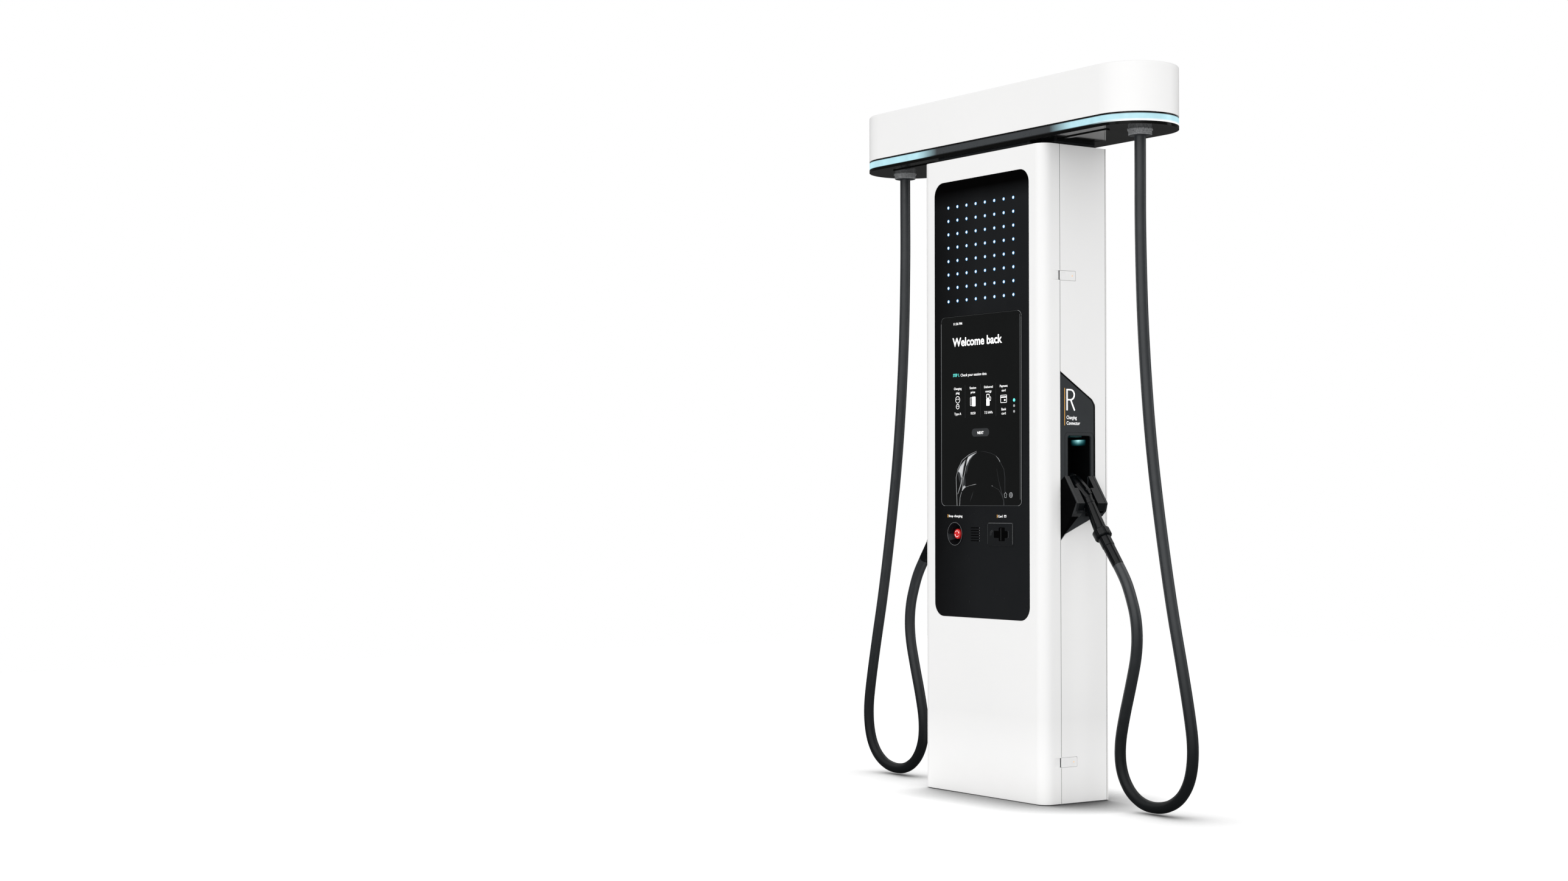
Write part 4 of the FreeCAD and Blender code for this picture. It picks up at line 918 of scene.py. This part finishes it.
def bezel_labels(side_name, side):
    """Side letter, two small lines of words and an orange bar beside them."""
    white, orange = Marks(), Marks()
    left = -0.0366 if side > 0 else -0.012
    side_letter(white, "R" if side > 0 else "L", left, 1.1908, 1.2556)
    white.words("Charging", left, 1.1643, 0.0105, squeeze=0.75, weight=0.00005)
    white.words("Connector", left, 1.1473, 0.0105, squeeze=0.80, weight=0.00005)
    orange.bar(left - 0.0080, left - 0.0067, 1.1450, 1.2585)
    place = readable_from(side, BEZEL_OUT)
    white.raise_on("bezel_label_" + side_name, place, INK, WHITE_INK, "cabinet", "dark_plastic")
    orange.raise_on("bezel_bar_" + side_name, place, INK, ORANGE_INK, "cabinet", "dark_plastic")


GAP_FLOOR = 0.2905


def bezel_gap(side_name, side):
    """Deep black strip in the shadow gap above and behind the holster plate, as painted shade."""
    gap_shade = Marks()
    gap_shade.stroke([(-0.0606, 1.3081), (0.0667, 1.2258), (0.0750, 1.2165), (0.0785, 1.2070), (0.0785, 0.8700)],
                  0.0026)
    gap_shade.raise_on("bezel_gap_" + side_name, facing_side(side, GAP_FLOOR), 0.0020, DEEP_BLACK, "cabinet",
                    "soft_black")


def bezel_edge(side_name, side):
    """Thin black line along the holster plate's upper and rear edge; it is painted shade for the shadow gap there.
    """
    edge_shade = Marks()
    edge_shade.stroke([(-0.0598, 1.3038), (0.0140, 1.2560), (0.0200, 1.2523), (0.0560, 1.2290), (0.0640, 1.2232),
                    (0.0697, 1.2163), (0.0732, 1.2092), (0.0748, 1.2020), (0.0752, 1.1940), (0.0752, 0.8760)],
                   [0.0024, 0.0027, 0.0018, 0.0018, 0.0020, 0.0024, 0.0027, 0.0030, 0.0032, 0.0032])
    edge_shade.raise_on("bezel_edge_" + side_name, facing_side(side, BEZEL_OUT), INK,
                     DEEP_BLACK, "cabinet", "dark_plastic")


def latch_dots():
    """A small orange dot on each latch lever."""
    for level in ("upper", "lower"):
        low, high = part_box("latch_lever_" + level)
        dot = Marks()
        dot.disc(high.y - 0.0133, (low.z + high.z) / 2, 0.0017, 16)
        dot.raise_on("latch_dot_" + level, facing_side(1, high.x), INK, ORANGE_INK, level + "_latch",
                     "latch_paint")


SEAM_SHADE_FLOOR = 0.2895
SEAM_SHADE_THICKNESS = {"right": 0.0041, "left": 0.0030}
LATCH_GAP = 0.003


def seam_shade_strips():
    """Deep black strips in both sides' seams, before the door and before the rear panel, as painted shade; they
    stop at the latches.
    """
    for side_name, side in SIDES:
        low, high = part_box("side_panel_" + side_name)
        head = high.z - 0.0005
        levels = [low.z]
        if side > 0:
            for lever in ("latch_lever_lower", "latch_lever_upper"):
                levels += [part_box(lever)[0].z - LATCH_GAP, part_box(lever)[1].z + LATCH_GAP]
        levels.append(head)
        seam_shade = Marks()
        for foot, top in zip(levels[::2], levels[1::2]):
            seam_shade.bar(low.y - 0.0012, low.y - 0.0001, foot, top)
        seam_shade.bar(high.y + 0.0001, high.y + 0.0014, low.z, head)
        seam_shade.raise_on("seam_shade_" + side_name, facing_side(side, SEAM_SHADE_FLOOR), SEAM_SHADE_THICKNESS[side_name],
                      DEEP_BLACK, "cabinet", "soft_black")


screen_picture()
light_shape()
screen_edge_highlights()
glass_labels()
stop_button_marks()
speaker_slots()
card_reader_lines()
for label_side, label_sign in SIDES:
    bezel_labels(label_side, label_sign)
    bezel_gap(label_side, label_sign)
    bezel_edge(label_side, label_sign)
latch_dots()
seam_shade_strips()


# ---------------------------------------------------------------- studio
FLOOR_HALF = 7.0
SHADE_REACH = 0.24
SHADE_LEAN = (-0.62, 0.0, 0.78)
SHADE_POWER = 2.3
FLOOR_GLOW = 0.62
FLOOR_IN_GLOSS = 0.12


def make_floor():
    """Plain pale floor that darkens softly with painted contact shade where something stands close to it, and is
    dark in reflections.
    """
    mesh = bpy.data.meshes.new("floor")
    half = FLOOR_HALF
    mesh.from_pydata([(-half, -half, 0), (half, -half, 0), (half, half, 0), (-half, half, 0)], [], [(0, 1, 2, 3)])
    floor = bpy.data.objects.new("floor", mesh)
    bpy.context.collection.objects.link(floor)
    finish = Finish("floor", (0.55, 0.55, 0.55), 0.9, Specular_IOR_Level=0.0)
    near = finish.node("ShaderNodeAmbientOcclusion", samples=12)
    near.inputs["Distance"].default_value = SHADE_REACH
    lean = finish.node("ShaderNodeCombineXYZ")
    for socket, value in zip(lean.inputs, SHADE_LEAN):
        socket.default_value = value
    finish.link(lean.outputs["Vector"], near.inputs["Normal"])
    gloss = finish.node("ShaderNodeLightPath").outputs["Is Glossy Ray"]
    open_air = finish.calc("MULTIPLY", finish.calc("POWER", near.outputs["AO"], SHADE_POWER),
                           finish.span(gloss, 1, FLOOR_IN_GLOSS, 0, 1))
    cloud = finish.vary_colour(0.01, 2)
    finish.link(finish.mix(open_air, (0.02, 0.02, 0.02), cloud), finish.shader.inputs["Base Color"])
    finish.glow((1.0, 1.0, 1.0), finish.calc("MULTIPLY", open_air, FLOOR_GLOW))
    paint(floor, finish.material)


# Seen by gloss only: a direction, the cosines where the lamp starts and is full, and its strength.
LAMPS = (((-0.09, -1.0, 0), 0.985, 0.995, 1.5), ((0.5, 0.866, 0), 0.985, 0.995, 1.5),
         ((0.64, -0.77, 0), 0.70, 0.98, 0.9))


def make_world():
    """A white studio, brighter from the front right and above for matt surfaces.

    Gloss sees a dark room with a bright dome, two tall narrow lamps and one wide soft one."""
    world = bpy.data.worlds.new("studio")
    world.use_nodes = True
    tree = world.node_tree

    def node(kind, **settings):
        made = tree.nodes.new(kind)
        for key, value in settings.items():
            setattr(made, key, value)
        return made

    def smooth(value, start, end, low, high):
        change = node("ShaderNodeMapRange", interpolation_type="SMOOTHSTEP")
        for socket, number in zip(("From Min", "From Max", "To Min", "To Max"), (start, end, low, high)):
            change.inputs[socket].default_value = number
        tree.links.new(value, change.inputs["Value"])
        return change.outputs["Result"]

    def towards(vector, direction):
        dot = node("ShaderNodeVectorMath", operation="DOT_PRODUCT")
        tree.links.new(vector, dot.inputs[0])
        dot.inputs[1].default_value = Vector(direction).normalized()
        return dot.outputs["Value"]

    def add(first, second):
        total = node("ShaderNodeMath", operation="ADD")
        for socket, value in zip(total.inputs, (first, second)):
            tree.links.new(value, socket)
        return total.outputs["Value"]

    def choose(flag, first, second):
        choice = node("ShaderNodeMix")
        tree.links.new(flag, choice.inputs["Factor"])
        for socket, value in ((choice.inputs["A"], first), (choice.inputs["B"], second)):
            if isinstance(value, float):
                socket.default_value = value
            else:
                tree.links.new(value, socket)
        return choice.outputs["Result"]

    back = tree.nodes["Background"]
    path = node("ShaderNodeLightPath")
    place = node("ShaderNodeTexCoord").outputs["Generated"]
    split = node("ShaderNodeSeparateXYZ")
    tree.links.new(place, split.inputs["Vector"])
    flat = node("ShaderNodeVectorMath", operation="MULTIPLY")
    tree.links.new(place, flat.inputs[0])
    flat.inputs[1].default_value = (1, 1, 0)
    level = node("ShaderNodeVectorMath", operation="NORMALIZE")
    tree.links.new(flat.outputs["Vector"], level.inputs[0])
    gloss = smooth(split.outputs["Z"], 0.05, 0.6, 0.06, 0.9)
    for direction, start, end, strength in LAMPS:
        gloss = add(gloss, smooth(towards(level.outputs["Vector"], direction), start, end, 0.0, strength))
    matt = smooth(towards(place, (0.6, -0.6, 0.53)), -0.6, 1.0, 0.48, 1.16)
    total = choose(path.outputs["Is Glossy Ray"], choose(path.outputs["Is Camera Ray"], matt, 1.0), gloss)
    tree.links.new(total, back.inputs["Strength"])
    back.inputs["Color"].default_value = (1, 1, 1, 1)
    bpy.context.scene.world = world
    bpy.context.scene.view_settings.view_transform = "Standard"


def soft_light(name, place, target, size, power):
    data = bpy.data.lights.new(name, "AREA")
    data.shape = "RECTANGLE"
    data.size, data.size_y = size
    data.energy = power
    light = bpy.data.objects.new(name, data)
    light.location = place
    light.rotation_euler = (Vector(target) - Vector(place)).to_track_quat("-Z", "Y").to_euler()
    bpy.context.collection.objects.link(light)


make_floor()
make_world()
soft_light("key_light", (3.0, -5.0, 3.6), (0, 0, 1.1), (3.0, 3.0), 20)
